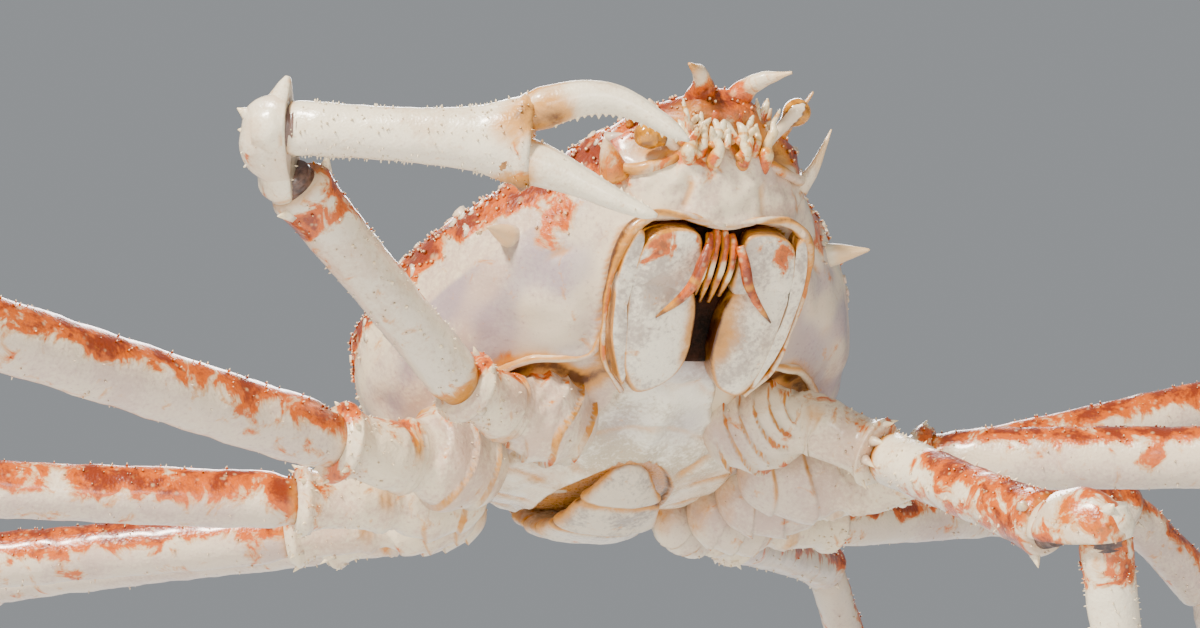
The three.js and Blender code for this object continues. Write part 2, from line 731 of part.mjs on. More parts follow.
function clawLimb(side) {
  const pose = CLAW_POSES[sideName(side)];
  return {
    side,
    joints: chain(side, CLAW_SOCKET, Object.values(CLAW_LENGTHS), pose),
    wide: CLAW_THICK,
    high: CLAW_THICK * 1.05,
    coxaWide: 14.5,
    coxaHigh: 16,
  };
}

// Palm rows: share of its length, half width across and half height against the limb's own.
const PALM_ROWS = [
  [0, 0.72, 0.78], [0.04, 0.76, 0.82], [0.12, 0.84, 0.8], [0.45, 0.84, 0.8], [0.75, 0.93, 0.96],
  [0.92, 1.05, 1.28], [1, 0.95, 1.35],
];
// Thumb and finger rings: distance past the palm, rise from its axis, half width, half height.
const THUMB_ROWS = [
  [-12, -5, 7.5, 8], [2, -9, 6.5, 7], [14, -13.5, 4.8, 5.2], [26, -19, 3.4, 3.6], [36, -23, 2, 2.2],
  [40, -24, 0.6, 0.6],
];
const FINGER_ROWS = [
  [-2, 7, 5, 6], [6, 10, 5.6, 6.2], [16, 12.5, 5, 5.6], [26, 12, 4.2, 4.8], [36, 8, 3.2, 3.6],
  [44, 3, 2.2, 2.6], [49, 0, 0.6, 0.6],
];
function layClaw(name, limb, teethCutters) {
  const [, , ischiumEnd, meralEnd, palmStart, palmEnd] = limb.joints;
  const meralAlong = meralEnd.clone().sub(ischiumEnd).normalize();
  const palmAlong = palmEnd.clone().sub(palmStart).normalize();
  const across = PALM_ACROSS[sideName(limb.side)].clone().normalize();
  const up = palmAlong.clone().cross(across).normalize();
  const merus = segment(
    ischiumEnd, meralEnd, limb.wide * 0.92, limb.high * 0.92, MERUS_ROWS, hingeOf(meralAlong),
    mitre(limb.joints[1], ischiumEnd, meralEnd), meralAlong
  );
  place(`${name}_merus`, cutAll(merus, teethCutters), "claw");

  // The wrist fills the bend between the upper arm's end plane and the palm's start plane.
  const middle = meralEnd.clone().lerp(palmStart, 0.5);
  const elbow = meralAlong.clone().sub(palmAlong).normalize();
  const wristCentre = middle.addScaledVector(elbow, 4).addScaledVector(up, 1.5);
  const toPalm = palmStart.clone().sub(meralEnd).normalize();
  const wrist = ellipsoid(wristCentre, [12, 13.5, 17], across, toPalm, 10, 7);
  const process = spine(
    palmStart.clone().addScaledVector(up, 8).addScaledVector(palmAlong, -4),
    up.clone().addScaledVector(palmAlong, 0.35).normalize(), 13, 5, 6, 7
  );
  const thorns = [-0.8, 0.1, 0.9].map((turn) =>
    spine(
      wristCentre.clone().addScaledVector(elbow, 9).addScaledVector(toPalm, turn * 9 - 3),
      elbow.clone().addScaledVector(toPalm, turn * 0.6 - 0.4).normalize(), 6, 2.4, 3
    )
  );
  const wristKept = cutAll(joinAll([wrist, process, ...thorns]), [
    beyond(meralEnd.clone().addScaledVector(meralAlong, GAP), meralAlong.clone().negate()),
    beyond(palmStart.clone().addScaledVector(palmAlong, -GAP), palmAlong),
  ]);
  place(`${name}_wrist`, wristKept, "claw");

  const palmRings = PALM_ROWS.map(([share, wide, high]) => ({
    at: palmStart.clone().lerp(palmEnd, share).addScaledVector(up, -2 * share),
    wide: limb.wide * wide * 0.82,
    high: limb.high * high,
  }));
  const palm = tubeThrough(palmRings, across, LEG_SIDES);
  const ringsOf = (rows) =>
    rows.map(([step, rise, wide, high]) => ({
      at: palmEnd.clone().addScaledVector(palmAlong, step).addScaledVector(up, rise),
      wide,
      high,
    }));
  const thumbRings = ringsOf(THUMB_ROWS);
  const thumb = tubeThrough(thumbRings, across, 8);
  const fingerRings = ringsOf(FINGER_ROWS);
  const finger = tubeThrough(fingerRings, across, 8);
  const fingerCutter = tubeThrough(fingerRings, across, 8, GAP);
  const teethOf = (rings, sign) =>
    rings.slice(1, -2).flatMap((ring, i) =>
      [0.25, 0.75].map((share) => {
        const at = ring.at.clone().lerp(rings[i + 2].at, share);
        const depth = ring.high * 0.85;
        return spine(at.addScaledVector(up, sign * depth), up.clone().multiplyScalar(sign), 2, 1.5, 1.5);
      })
    );
  place(`${name}_palm`, joinAll([palm, thumb, ...teethOf(thumbRings, 1)]).subtract(fingerCutter), "claw");
  place(`${name}_finger`, joinAll([finger, ...teethOf(fingerRings, -1)]), "claw");
}

for (const side of [-1, 1]) {
  const claw = clawLimb(side);
  const clawName = `claw_${sideName(side)}`;
  layClaw(clawName, claw, layLimb(clawName, claw, [], "claw"));
  let previous = limbBase(claw, GAP);
  WALKING_LEGS.forEach((leg, i) => {
    const limb = walkingLeg(leg, side);
    const name = `leg_${i + 1}_${sideName(side)}`;
    layWalkingLeg(name, limb, layLimb(name, limb, [previous], "leg"));
    previous = limbBase(limb, GAP);
  });
}

// The origin is the middle of the crab's box, at floor level.
const crab = new THREE.Group();
const box = new THREE.Box3().setFromObject(body);
const centre = box.getCenter(vec(0, 0, 0));
body.position.set(-centre.x, -centre.y, 0);
crab.add(body);

export default crab;
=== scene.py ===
import math

import bpy
import numpy as np
from mathutils import Euler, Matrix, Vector, noise


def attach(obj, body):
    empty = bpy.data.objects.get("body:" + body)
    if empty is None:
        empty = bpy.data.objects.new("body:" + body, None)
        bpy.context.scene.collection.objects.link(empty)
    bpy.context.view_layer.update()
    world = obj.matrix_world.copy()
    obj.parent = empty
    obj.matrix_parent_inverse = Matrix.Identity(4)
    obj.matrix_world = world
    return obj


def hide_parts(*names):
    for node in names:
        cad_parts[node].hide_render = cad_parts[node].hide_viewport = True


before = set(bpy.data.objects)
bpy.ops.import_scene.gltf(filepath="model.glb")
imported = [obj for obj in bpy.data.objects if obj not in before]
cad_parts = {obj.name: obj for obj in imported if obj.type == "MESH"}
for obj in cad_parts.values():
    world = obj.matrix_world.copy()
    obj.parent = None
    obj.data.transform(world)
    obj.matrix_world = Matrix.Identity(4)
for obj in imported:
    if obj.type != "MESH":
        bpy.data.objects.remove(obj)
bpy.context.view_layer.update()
numbers = np.random.default_rng(20417)

# The shell of the back.
# One domed plate of hard limy shell, swollen over the stomach and the gills and folded in underneath.
# It is pitched nose up on the hips of the walking legs. Millimetres, x to its left, y to its rear.
BODY_PITCH = math.radians(27)
BODY_HEIGHT = 360
BODY_MIDDLE = (32.55, -36.77)
FRONT_Y = -113
CARAPACE_LENGTH = 205
CARAPACE_WIDTH = 192
MARGIN_Z = 3
SHELL_SIDES = 200
SHELL_RINGS = 150
# share of the length from the front, half width, top, underside
SHELL_ROWS = [
    (0.0, 13, 15, 0), (0.042, 25, 20, -15), (0.085, 34, 23, -25), (0.145, 41, 27, -32),
    (0.216, 52, 31, -37), (0.286, 64, 36, -41), (0.427, 83, 43, -46), (0.568, 93, 47, -47),
    (0.66, CARAPACE_WIDTH / 2, 47, -47), (0.8, 87, 43, -40), (0.92, 62, 33, -27),
    (0.98, 32, 20, -14), (1.0, 15, 12, -5),
]
# swollen regions of the back: x, y, reach across, reach along, rise
SHELL_LOBES = [
    (0, -48, 26, 30, 6), (0, 34, 18, 22, 5), (46, 14, 26, 36, 6), (-46, 14, 26, 36, 6),
    (34, -62, 14, 16, 3), (-34, -62, 14, 16, 3),
]
# furrows between those regions, each a run of x, y
BACK_FURROWS = [
    [(72, -34), (52, -24), (34, -16), (16, -10), (0, -12)],
    [(16, -10), (22, 8), (22, 32), (16, 56), (8, 72)],
    [(46, -70), (30, -50), (30, -34), (36, -18)],
    [(0, 62), (14, 66), (30, 78)],
]
# y, angle up from the side margin, length, root radius, lean forwards
PAIRED_SPINES = [
    (-93, 12, 9, 3.2, 1.2), (-84, 78, 8, 3, 0.3), (-80, 40, 8, 3, 0.5), (-60, 66, 11, 3.6, 0.3),
    (-46, 20, 9, 3.4, 0.4), (-42, 4, 11, 3.8, 0.5), (-34, 76, 9, 3.4, 0.1), (-28, 38, 10, 3.6, 0.3),
    (-20, 4, 10, 3.8, 0.4), (-6, 22, 11, 4, 0.2), (0, 58, 9, 3.6, 0.1), (4, 2, 10, 3.8, 0.3),
    (20, 36, 11, 4, 0.1), (26, 8, 10, 3.8, 0.1), (34, 64, 9, 3.6, 0), (48, 14, 10, 3.8, -0.1),
    (52, 42, 10, 3.6, -0.1), (68, 24, 9, 3.4, -0.3), (74, 60, 8, 3.2, -0.3),
]
MIDDLE_SPINES = [
    (-92, 8, 3), (-70, 11, 3.6), (-48, 13, 4), (-26, 10, 3.6), (8, 11, 3.8), (34, 13, 4),
    (58, 10, 3.6), (80, 11, 3.6),
]
SMALL_SPINES = 130
SMALL_LEAN = 0.15
MARKS = ("blotch", "crease", "tip", "prickle", "lilac")


def smooth_rows(rows, place):
    """Values between rows of a place and its values, by cubic Hermite spans."""
    rows = np.asarray(rows, float)
    at, value = rows[:, 0], rows[:, 1:]
    slope = np.gradient(value, axis=0)
    slope[1:-1] = (value[2:] - value[:-2]) / (at[2:] - at[:-2])[:, None]
    slope[0] = (value[1] - value[0]) / (at[1] - at[0])
    slope[-1] = (value[-1] - value[-2]) / (at[-1] - at[-2])
    place = np.clip(np.asarray(place, float), at[0], at[-1])
    i = np.clip(np.searchsorted(at, place) - 1, 0, len(at) - 2)
    span = (at[i + 1] - at[i])[..., None]
    t = (place - at[i])[..., None] / span
    h = t * t * (3 - 2 * t)
    bend = slope[i] * t * (1 - t) ** 2 - slope[i + 1] * t * t * (1 - t)
    return value[i] * (1 - h) + value[i + 1] * h + bend * span


def fade(low, high, value):
    """0 below low, 1 above high and smooth between them."""
    t = np.clip((np.asarray(value, float) - low) / (high - low), 0, 1)
    return t * t * (3 - 2 * t)


def near(value, middle, reach):
    """1 at the middle, falling off like a bell over that reach."""
    return np.exp(-(((value - middle) / reach) ** 2))


def unit(vectors):
    vectors = np.asarray(vectors, float)
    return vectors / np.maximum(np.linalg.norm(vectors, axis=-1, keepdims=True), 1e-9)


def turn_body(vectors):
    x, y, z = np.moveaxis(np.asarray(vectors, float), -1, 0)
    cos, sin = math.cos(BODY_PITCH), math.sin(BODY_PITCH)
    return np.stack([x, y * cos + z * sin, z * cos - y * sin], -1)


def on_body(points):
    return turn_body(points) + np.array([*BODY_MIDDLE, BODY_HEIGHT])


def distance_to(points, line):
    """Distance of every point to a broken line, in as many dimensions as both have."""
    line = np.asarray(line, float)
    best = np.full(points.shape[:-1], 1e9)
    for start, end in zip(line[:-1], line[1:]):
        step = end - start
        share = np.clip(((points - start) @ step) / (step @ step), 0, 1)
        gap = np.linalg.norm(points - start - share[..., None] * step, axis=-1)
        best = np.minimum(best, gap)
    return best


def lumps(points, size, height, seed=0):
    """Uneven growth: noise of that size and height at every point."""
    flat = points.reshape(-1, 3) / size + seed * 7.3
    values = [noise.noise(Vector(point)) for point in flat]
    return height * np.array(values).reshape(points.shape[:-1])


class Skin:
    """A closed surface in millimetres, marks from 0 to 1 on its points, and the spines it bears."""

    def __init__(self, points, faces, spines=(), **marks):
        self.points = np.asarray(points, float)
        self.faces = faces
        self.spines = list(spines)
        blank = np.zeros(len(self.points))
        self.marks = {mark: np.asarray(marks.get(mark, blank)) + blank for mark in MARKS}

    def __add__(self, other):
        step = len(self.points)
        marks = {mark: np.concatenate([self.marks[mark], other.marks[mark]]) for mark in MARKS}
        faces = self.faces + [tuple(corner + step for corner in face) for face in other.faces]
        points = np.concatenate([self.points, other.points])
        return Skin(points, faces, self.spines + other.spines, **marks)


def loft(sections, **marks):
    """A closed surface through rings of points, with its faces outwards."""
    sections = np.asarray(sections, float)
    count, sides = sections.shape[:2]
    here = np.arange(count * sides).reshape(count, sides)
    beside = np.roll(here, -1, axis=1)
    quads = np.stack([here[:-1], beside[:-1], beside[1:], here[1:]], -1).reshape(-1, 4)
    faces = [tuple(quad) for quad in quads.tolist()]
    first, last = count * sides, count * sides + 1
    faces += [(first, b, a) for a, b in zip(here[0].tolist(), beside[0].tolist())]
    faces += [(last, a, b) for a, b in zip(here[-1].tolist(), beside[-1].tolist())]
    points = np.concatenate([sections.reshape(-1, 3), [sections[0].mean(0), sections[-1].mean(0)]])
    corners = points[quads] - points.mean(0)
    volume = (np.cross(corners[:, 0], corners[:, 1]) * corners[:, 2]).sum()
    volume += (np.cross(corners[:, 0], corners[:, 2]) * corners[:, 3]).sum()
    if volume < 0:
        faces = [face[::-1] for face in faces]
    spread = {}
    for mark, value in marks.items():
        value = np.zeros((count, sides)) + value
        spread[mark] = np.concatenate([value.ravel(), [value[0].mean(), value[-1].mean()]])
    return Skin(points, faces, **spread)


def joined(skins):
    """Several skins as one."""
    whole = skins[0]
    for skin in skins[1:]:
        whole += skin
    return whole


def add_node(tree, kind, settings=None, sockets=None):
    """The outputs of a new node. A socket is set to a value, or linked to another node's output."""
    made = tree.nodes.new(kind)
    for key, value in (settings or {}).items():
        setattr(made, key, value)
    for key, value in (sockets or {}).items():
        if isinstance(value, bpy.types.NodeSocket):
            tree.links.new(value, made.inputs[key])
        else:
            made.inputs[key].default_value = value
    return made.outputs


class Value:
    """A number or colour in a material's nodes, which takes arithmetic."""

    def __init__(self, tree, socket=None):
        self.tree = tree
        self.socket = socket

    def node(self, kind, settings=None, sockets=None, output=0):
        plain = {key: getattr(value, "socket", value) for key, value in (sockets or {}).items()}
        outputs = add_node(self.tree, kind, settings, plain)
        return Value(self.tree, outputs[output] if outputs else None)

    def sum(self, operation, first, second):
        return self.node("ShaderNodeMath", {"operation": operation}, {0: first, 1: second})

    def __add__(self, other):
        return self.sum("ADD", self, other)

    def __mul__(self, other):
        return self.sum("MULTIPLY", self, other)

    def __sub__(self, other):
        return self.sum("SUBTRACT", self, other)

    def __rsub__(self, other):
        return self.sum("SUBTRACT", other, self)

    def fade(self, low, high):
        sockets = {"Value": self, "From Min": low, "From Max": high}
        return self.node("ShaderNodeMapRange", {"interpolation_type": "SMOOTHSTEP"}, sockets)

    def mix(self, amount, first, second):
        sockets = {0: amount, 6: first, 7: second}
        return self.node("ShaderNodeMix", {"data_type": "RGBA"}, sockets, 2)

    def tint(self, amount, color):
        """This colour turned to another by that amount."""
        return self.mix(amount, self, color)

    def attribute(self, name):
        return self.node("ShaderNodeAttribute", {"attribute_name": name}, output=2)

    def surface(self, **sockets):
        """Gives the material its surface, with words joined by _ as the names of the sockets."""
        sockets = {key.replace("_", " "): value for key, value in sockets.items()}
        shader = self.node("ShaderNodeBsdfPrincipled", None, sockets)
        self.node("ShaderNodeOutputMaterial", None, {"Surface": shader})


def blank_material(name):
    """A new material, the start of its nodes and the place on the object."""
    material = bpy.data.materials.new(name)
    material.use_nodes = True
    material.node_tree.nodes.clear()
    paints = Value(material.node_tree)
    return material, paints, paints.node("ShaderNodeTexCoord", output=3)


def paint(red, green, blue):
    """A colour of 0 to 255 as the shader's own red, green, blue and alpha."""
    shares = [channel / 255 for channel in (red, green, blue)]
    return [s / 12.92 if s < 0.04045 else ((s + 0.055) / 1.055) ** 2.4 for s in shares] + [1]


CREAM = paint(232, 208, 158)
CHALK = paint(242, 232, 208)
LILAC = paint(146, 130, 148)
OCHRE = paint(206, 136, 30)
ORANGE = paint(204, 92, 0)
RUST = paint(130, 44, 0)
UMBER = paint(84, 42, 4)
PALE_TIP_AND_HIGHLIGHT = paint(246, 224, 178)


def shell_finish(name, pale, veil, patch_size=14, grain_size=1.3, grain_height=0.22, rough=0.42,
                 tip=PALE_TIP_AND_HIGHLIGHT, cover=0.0, crease_color=UMBER, calm=1.0, soil=0.3, wet=0.45):
    """Wet limy shell: a pale ground, rusty blotches, darker furrows and fine grains."""
    material, paints, place = blank_material(name)

    def cloud(size, detail, distortion=0.0):
        sockets = {
            "Vector": place, "Scale": 1000 / size, "Detail": detail, "Roughness": 0.62,
            "Distortion": distortion,
        }
        return paints.node("ShaderNodeTexNoise", None, sockets)

    def grains(size):
        return paints.node("ShaderNodeTexVoronoi", None, {"Vector": place, "Scale": 1000 / size})

    mark = paints.attribute
    wide = cloud(patch_size * 2.6, 3)
    ragged = cloud(patch_size, 8, 0.6)
    speckle = cloud(1.6, 3)
    blotch = ragged * 1.5 + mark("blotch") * 0.48 + (cover - 0.25)
    patches = blotch.fade(0.68, 0.76)
    heart = (blotch + (speckle - 0.5) * 0.35).fade(0.78, 1.0)
    rim = blotch.fade(0.6, 0.7)
    dots = (1 - grains(grain_size * 3.1)).fade(0.7, 0.95) * patches * 0.4

    color = paints.mix((wide + (speckle - 0.5) * 0.5).fade(0.42, 0.66), pale, veil)
    color = color.tint(mark("lilac"), LILAC)
    color = color.tint(rim * 0.55, OCHRE)
    color = color.tint(patches, ORANGE)
    color = color.tint(heart, RUST)
    color = color.tint(dots, CREAM)
    # The crease mark darkens soft skin and joints in their own colour, and paints shade into furrows and
    # recesses.
    worn = mark("crease") * ((ragged - 0.5) * 1.6 + 0.9)
    color = color.tint(worn.fade(0.08, 0.5) * 0.9, OCHRE)
    color = color.tint(worn.fade(0.45, 0.95), crease_color)
    # The tip mark gives spines their pale tips, and is a painted highlight on the jaws' palps and bars.
    color = color.tint(mark("tip").fade(0.35, 0.9), tip)
    color = color.tint((speckle - 0.5).fade(0.1, 0.3) * 0.25, UMBER)
    color = color.tint(cloud(3.4, 5, 0.8).fade(0.62, 0.72) * soil, OCHRE)

    # the under side is smoother than the warty top
    rugged = mark("blotch").fade(0.05, 0.5) * (1 - calm) + calm
    height = (grains(grain_size) * grain_height + speckle * grain_height * 1.4) * rugged
    height = height + cloud(5, 4) * 0.4
    bump = paints.node("ShaderNodeBump", None, {"Strength": 0.7, "Distance": 0.001, "Height": height})
    paints.surface(
        Base_Color=color, Roughness=speckle * 0.3 + (rough - 0.15) + mark("crease") * 0.08,
        Normal=bump, Coat_Weight=wet, Coat_Roughness=0.16,
        Specular_IOR_Level=0.5 * min(wet + 0.6, 1.1),
    )
    return material


def spine_tree():
    """Nodes that set one tapering spine on each marked point, and scatter prickles over the faces."""
    tree = bpy.data.node_groups.new("spines_and_prickles", "GeometryNodeTree")
    kinds = {
        "Geometry": "Geometry", "Prickles per square metre": "Float", "Prickle height": "Float",
        "Prickle radius": "Float", "Bluntness": "Float", "Seed": "Int", "Finish": "Material",
    }
    for name, kind in kinds.items():
        tree.interface.new_socket(name, in_out="INPUT", socket_type=f"NodeSocket{kind}")
    tree.interface.new_socket("Geometry", in_out="OUTPUT", socket_type="NodeSocketGeometry")
    given = tree.nodes.new("NodeGroupInput").outputs
    end = tree.nodes.new("NodeGroupOutput")

    def node(kind, settings=None, sockets=None):
        return add_node(tree, kind, settings, sockets)

    def named(name, kind="FLOAT"):
        return node("GeometryNodeInputNamedAttribute", {"data_type": kind}, {"Name": name})[0]

    def aimed(way):
        return node("FunctionNodeAlignRotationToVector", {"axis": "Z"}, {"Vector": way})[0]

    def slim(width, length):
        return node("ShaderNodeCombineXYZ", None, {0: width, 1: width, 2: length})[0]

    def on_points(points, shape, rotation, scale, **more):
        sockets = {"Points": points, "Instance": shape, "Rotation": rotation, "Scale": scale, **more}
        return node("GeometryNodeInstanceOnPoints", None, sockets)[0]

    def cone(sides, rings, top):
        """A cone one unit high and wide, marked as tip by its height."""
        sizes = {
            "Vertices": sides, "Side Segments": rings, "Radius Top": top, "Radius Bottom": 1.0,
            "Depth": 1.0,
        }
        mesh = node("GeometryNodeMeshCone", {"fill_type": "TRIANGLE_FAN"}, sizes)[0]
        rise = node("ShaderNodeSeparateXYZ", None, {0: node("GeometryNodeInputPosition")[0]})[2]
        sockets = {"Geometry": mesh, "Name": "tip", "Value": rise}
        settings = {"data_type": "FLOAT", "domain": "POINT"}
        return node("GeometryNodeStoreNamedAttribute", settings, sockets)[0]

    length = named("spine_length")
    is_spine = node("FunctionNodeCompare", {"operation": "GREATER_THAN"}, {0: length, 1: 0.0})[0]
    spines = on_points(
        given["Geometry"], cone(7, 3, 0.06), aimed(named("aim", "FLOAT_VECTOR")),
        slim(named("spine_width"), length), Selection=is_spine,
    )
    sockets = {"Geometry": given["Geometry"], "Selection": is_spine}
    bare = node("GeometryNodeDeleteGeometry", {"domain": "POINT"}, sockets)[0]

    sockets = {0: given["Prickles per square metre"], 1: named("prickle")}
    amount = node("ShaderNodeMath", {"operation": "MULTIPLY"}, sockets)[0]
    sockets = {"Mesh": bare, "Density": amount, "Seed": given["Seed"]}
    scatter = node("GeometryNodeDistributePointsOnFaces", {"distribute_method": "RANDOM"}, sockets)
    sockets = {0: scatter[1], 1: named("aim", "FLOAT_VECTOR")}
    lean = node("ShaderNodeVectorMath", {"operation": "ADD"}, sockets)[0]
    sockets = {2: 0.55, 3: 1.35, "Seed": given["Seed"]}
    some = node("FunctionNodeRandomValue", {"data_type": "FLOAT"}, sockets)[1]
    sockets = {0: slim(given["Prickle radius"], given["Prickle height"]), "Scale": some}
    size = node("ShaderNodeVectorMath", {"operation": "SCALE"}, sockets)[0]
    prickles = on_points(scatter[0], cone(5, 1, given["Bluntness"]), aimed(lean), size)

    whole = tree.nodes.new("GeometryNodeJoinGeometry")
    for part in (prickles, spines, bare):
        tree.links.new(part, whole.inputs[0])
    real = node("GeometryNodeRealizeInstances", None, {0: whole.outputs[0]})[0]
    smooth = node("GeometryNodeSetShadeSmooth", None, {"Geometry": real, "Shade Smooth": True})[0]
    sockets = {"Geometry": smooth, "Material": given["Finish"]}
    tree.links.new(node("GeometryNodeSetMaterial", None, sockets)[0], end.inputs[0])
    return tree


spines_and_prickles = spine_tree()


def put_in_scene(name, data):
    made = bpy.data.objects.new(name, data)
    bpy.context.scene.collection.objects.link(made)
    return made


def piece(name, skin, finish, slot, *nodes, prickles=0, height=0.8, radius=0.5, blunt=0.1, seed=1):
    """Makes one piece of the crab from a skin, sets its spines and prickles, and fixes it to the body."""
    count = len(skin.points)
    roots = np.array([spine[0] for spine in skin.spines]).reshape(-1, 3)
    points = np.concatenate([skin.points, roots])
    aims = np.zeros((len(points), 3))
    values = {mark: np.zeros(len(points)) for mark in (*MARKS, "spine_length", "spine_width")}
    for mark in MARKS:
        values[mark][:count] = skin.marks[mark]
    for i, (_, aim, length, width) in enumerate(skin.spines, count):
        aims[i] = aim
        values["spine_length"][i] = length / 1000
        values["spine_width"][i] = width / 1000
    mesh = bpy.data.meshes.new(name)
    mesh.from_pydata((points / 1000).tolist(), [], skin.faces)
    for mark, value in values.items():
        mesh.attributes.new(mark, "FLOAT", "POINT").data.foreach_set("value", value)
    mesh.attributes.new("aim", "FLOAT_VECTOR", "POINT").data.foreach_set("vector", aims.ravel())
    mesh.materials.append(finish)
    made = put_in_scene(name, mesh)
    growth = made.modifiers.new("growth", "NODES")
    growth.node_group = spines_and_prickles
    inputs = {
        "Prickles per square metre": float(prickles), "Prickle height": height / 1000,
        "Prickle radius": radius / 1000, "Bluntness": blunt, "Seed": seed, "Finish": finish,
    }
    for socket in spines_and_prickles.interface.items_tree:
        if socket.name in inputs:
            growth[socket.identifier] = inputs[socket.name]
    grown = made.evaluated_get(bpy.context.evaluated_depsgraph_get())
    made.data = bpy.data.meshes.new_from_object(grown)
    made.data.name = name
    made.modifiers.clear()
    for extra in ("spine_length", "spine_width", "aim", "prickle"):
        if extra in made.data.attributes:
            made.data.attributes.remove(made.data.attributes[extra])
    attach(made, "root")
    if nodes:
        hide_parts(*nodes)


def shell_surface(y, angle):
    """Points of the shell at that distance back and that angle round from the left margin."""
    y, angle = np.broadcast_arrays(np.asarray(y, float), np.asarray(angle, float))
    rows = smooth_rows(SHELL_ROWS, (y - FRONT_Y) / CARAPACE_LENGTH)
    half, top, under = np.moveaxis(rows, -1, 0)
    cos, sin = np.cos(angle), np.sin(angle)
    x = half * np.sign(cos) * np.abs(cos) ** 0.9
    upper = MARGIN_Z + (top - MARGIN_Z) * np.clip(sin, 0, 1) ** 0.95
    lower = MARGIN_Z - (MARGIN_Z - under) * np.clip(-sin, 0, 1) ** 0.85
    z = np.where(sin < 0, lower, upper)
    for middle_x, middle_y, across, along, rise in SHELL_LOBES:
        swelling = np.exp(-(((x - middle_x) / across) ** 2) - ((y - middle_y) / along) ** 2)
        z = z + rise * np.clip(sin, 0, 1) * swelling
    return np.stack([x, y, z], -1)


def shell_normal(y, angle):
    along = shell_surface(y + 1.5, angle) - shell_surface(y - 1.5, angle)
    around = shell_surface(y, angle + 0.04) - shell_surface(y, angle - 0.04)
    return unit(-np.cross(along, around))


# The jaws lie in a recess of the shell, on a plane that slopes up and forwards. Its axes point to the
# left, up along the plane and out of it.
MOUTH_SLOPE = math.radians(25.4)
MOUTH_MIDDLE = np.array([0, -65.5, -42.5])
MOUTH_DEPTH = 10
MOUTH_AXES = np.array([
    [1, 0, 0],
    [0, -math.cos(MOUTH_SLOPE), math.sin(MOUTH_SLOPE)],
    [0, -math.sin(MOUTH_SLOPE), -math.cos(MOUTH_SLOPE)],
])
MOUTH_EDGE = [
    (0, -19), (12, -32), (22, -34), (31, -24), (34, -8), (35, 8), (33, 22), (26, 28.5), (14, 31),
    (0, 28.5),
]


def on_mouth(places):
    return np.asarray(places, float) @ MOUTH_AXES + MOUTH_MIDDLE


def mirrored(line):
    """A line of points on the left half, and its twin on the right."""
    line = np.asarray(line, float)
    flip = np.ones(line.shape[1])
    flip[0] = -1
    return [line, line * flip]


def inside(places, outline):
    """How far inside an outline each point lies: above 0 inside, below 0 outside."""
    x, y = places[..., 0], places[..., 1]
    crossed = np.zeros(x.shape, bool)
    for (ax, ay), (bx, by) in zip(outline, np.roll(outline, -1, axis=0)):
        cuts = (ay > y) != (by > y)
        reach = ax + (bx - ax) * (y - ay) / np.where(by == ay, 1e-9, by - ay)
        crossed ^= cuts & (x < reach)
    edge = distance_to(places[..., :2], np.concatenate([outline, outline[:1]]))
    return np.where(crossed, edge, -edge)


mouth_ring = np.array(MOUTH_EDGE + [(-u, v) for u, v in MOUTH_EDGE[-2:0:-1]], float)
# the rim of the shell over the limbs, and the soft skin between that rim and the limbs
SIDE_RIM = [
    (29, -57, -37), (31.6, -45.8, -40), (34, -36, -42), (43, -31.2, -40.5), (52.2, -26.7, -38),
    (62, -16, -36), (72, 0, -33), (78, 22, -31), (76, 48, -29), (66, 68, -24), (48, 84, -15),
]
SOFT_SKIN = [
    (24, -34, -45), (32.4, -21, -45), (41, -24, -42), (47.2, -26, -39), (56, -19, -37.5), (65, -6, -37),
    (70, 12, -38), (69, 40, -36), (60, 62, -32), (46, 78, -23),
]
# furrows of the face: x, y, z
FACE_FURROWS = [
    [(15, -95, -23), (13, -100, -18.6), (15, -101, -13), (19, -101, -10)],
    [(36, -88, -14), (30, -92, -19), (25, -91, -24)],
    [(46, -70, -22), (52, -60, -19), (58, -46, -20), (60, -34, -26)],
    [(34, -50, -36), (42, -56, -28), (50, -52, -24), (56, -42, -26)],
]
ORBIT = (25, -103.5, -1.5)
ORBIT_SIZE = (8.5, 9, 6.5)
ORBIT_RIM = [(17, -103, -9), (22, -102.6, -11), (29, -98.5, -10.5), (34, -94, -6.5), (36.5, -90.5, -1)]


def along_lines(points, lines, reach):
    """1 on those lines and on their twins across the body, fading out at that reach."""
    gaps = [distance_to(points, half) for line in lines for half in mirrored(line)]
    return sum(near(gap, 0, reach) for gap in gaps)


def patch(middle, reach):
    """1 at a place of the shell on both sides, fading out at its reach in x, y and z."""
    return near(np.linalg.norm((np.abs(hull) - middle) / reach, axis=-1), 0, 1)


share = np.linspace(0, 1, SHELL_RINGS)
# the rings stand closer at the snout and the rear, where the shell curves most
share = share - 0.1 * np.sin(2 * math.pi * share) / math.pi
angle = np.arange(SHELL_SIDES) * 2 * math.pi / SHELL_SIDES
hull = shell_surface(FRONT_Y + share[:, None] * CARAPACE_LENGTH, angle[None, :])
caps = []
for ring, reach in ((hull[0], -4), (hull[-1], 4)):
    bulge = np.radians([88, 75, 60, 42, 22])[:, None, None]
    middle = ring.mean(0)
    caps.append(middle + (ring - middle) * np.cos(bulge) + np.array([0, reach, 0]) * np.sin(bulge))
hull = np.concatenate([caps[0], hull, caps[1][::-1]])
lift = np.broadcast_to(np.sin(angle), hull.shape[:2])
out = unit(hull - np.array([0, 0, MARGIN_Z]) - hull * np.array([0, 0.85, 0]))

furrow = np.clip(along_lines(hull[..., :2], BACK_FURROWS, 3.2), 0, 1) * fade(0.05, 0.25, lift)
face = np.clip(along_lines(hull, FACE_FURROWS, 1.7), 0, 1)
skin_line = along_lines(hull, [SOFT_SKIN], 6.5)
rim_line = along_lines(hull, [SIDE_RIM], 2.2)
orbit = sum(
    near(np.linalg.norm((hull - np.array(ORBIT) * [side, 1, 1]) / ORBIT_SIZE, axis=-1), 0, 1)
    for side in (-1, 1)
)

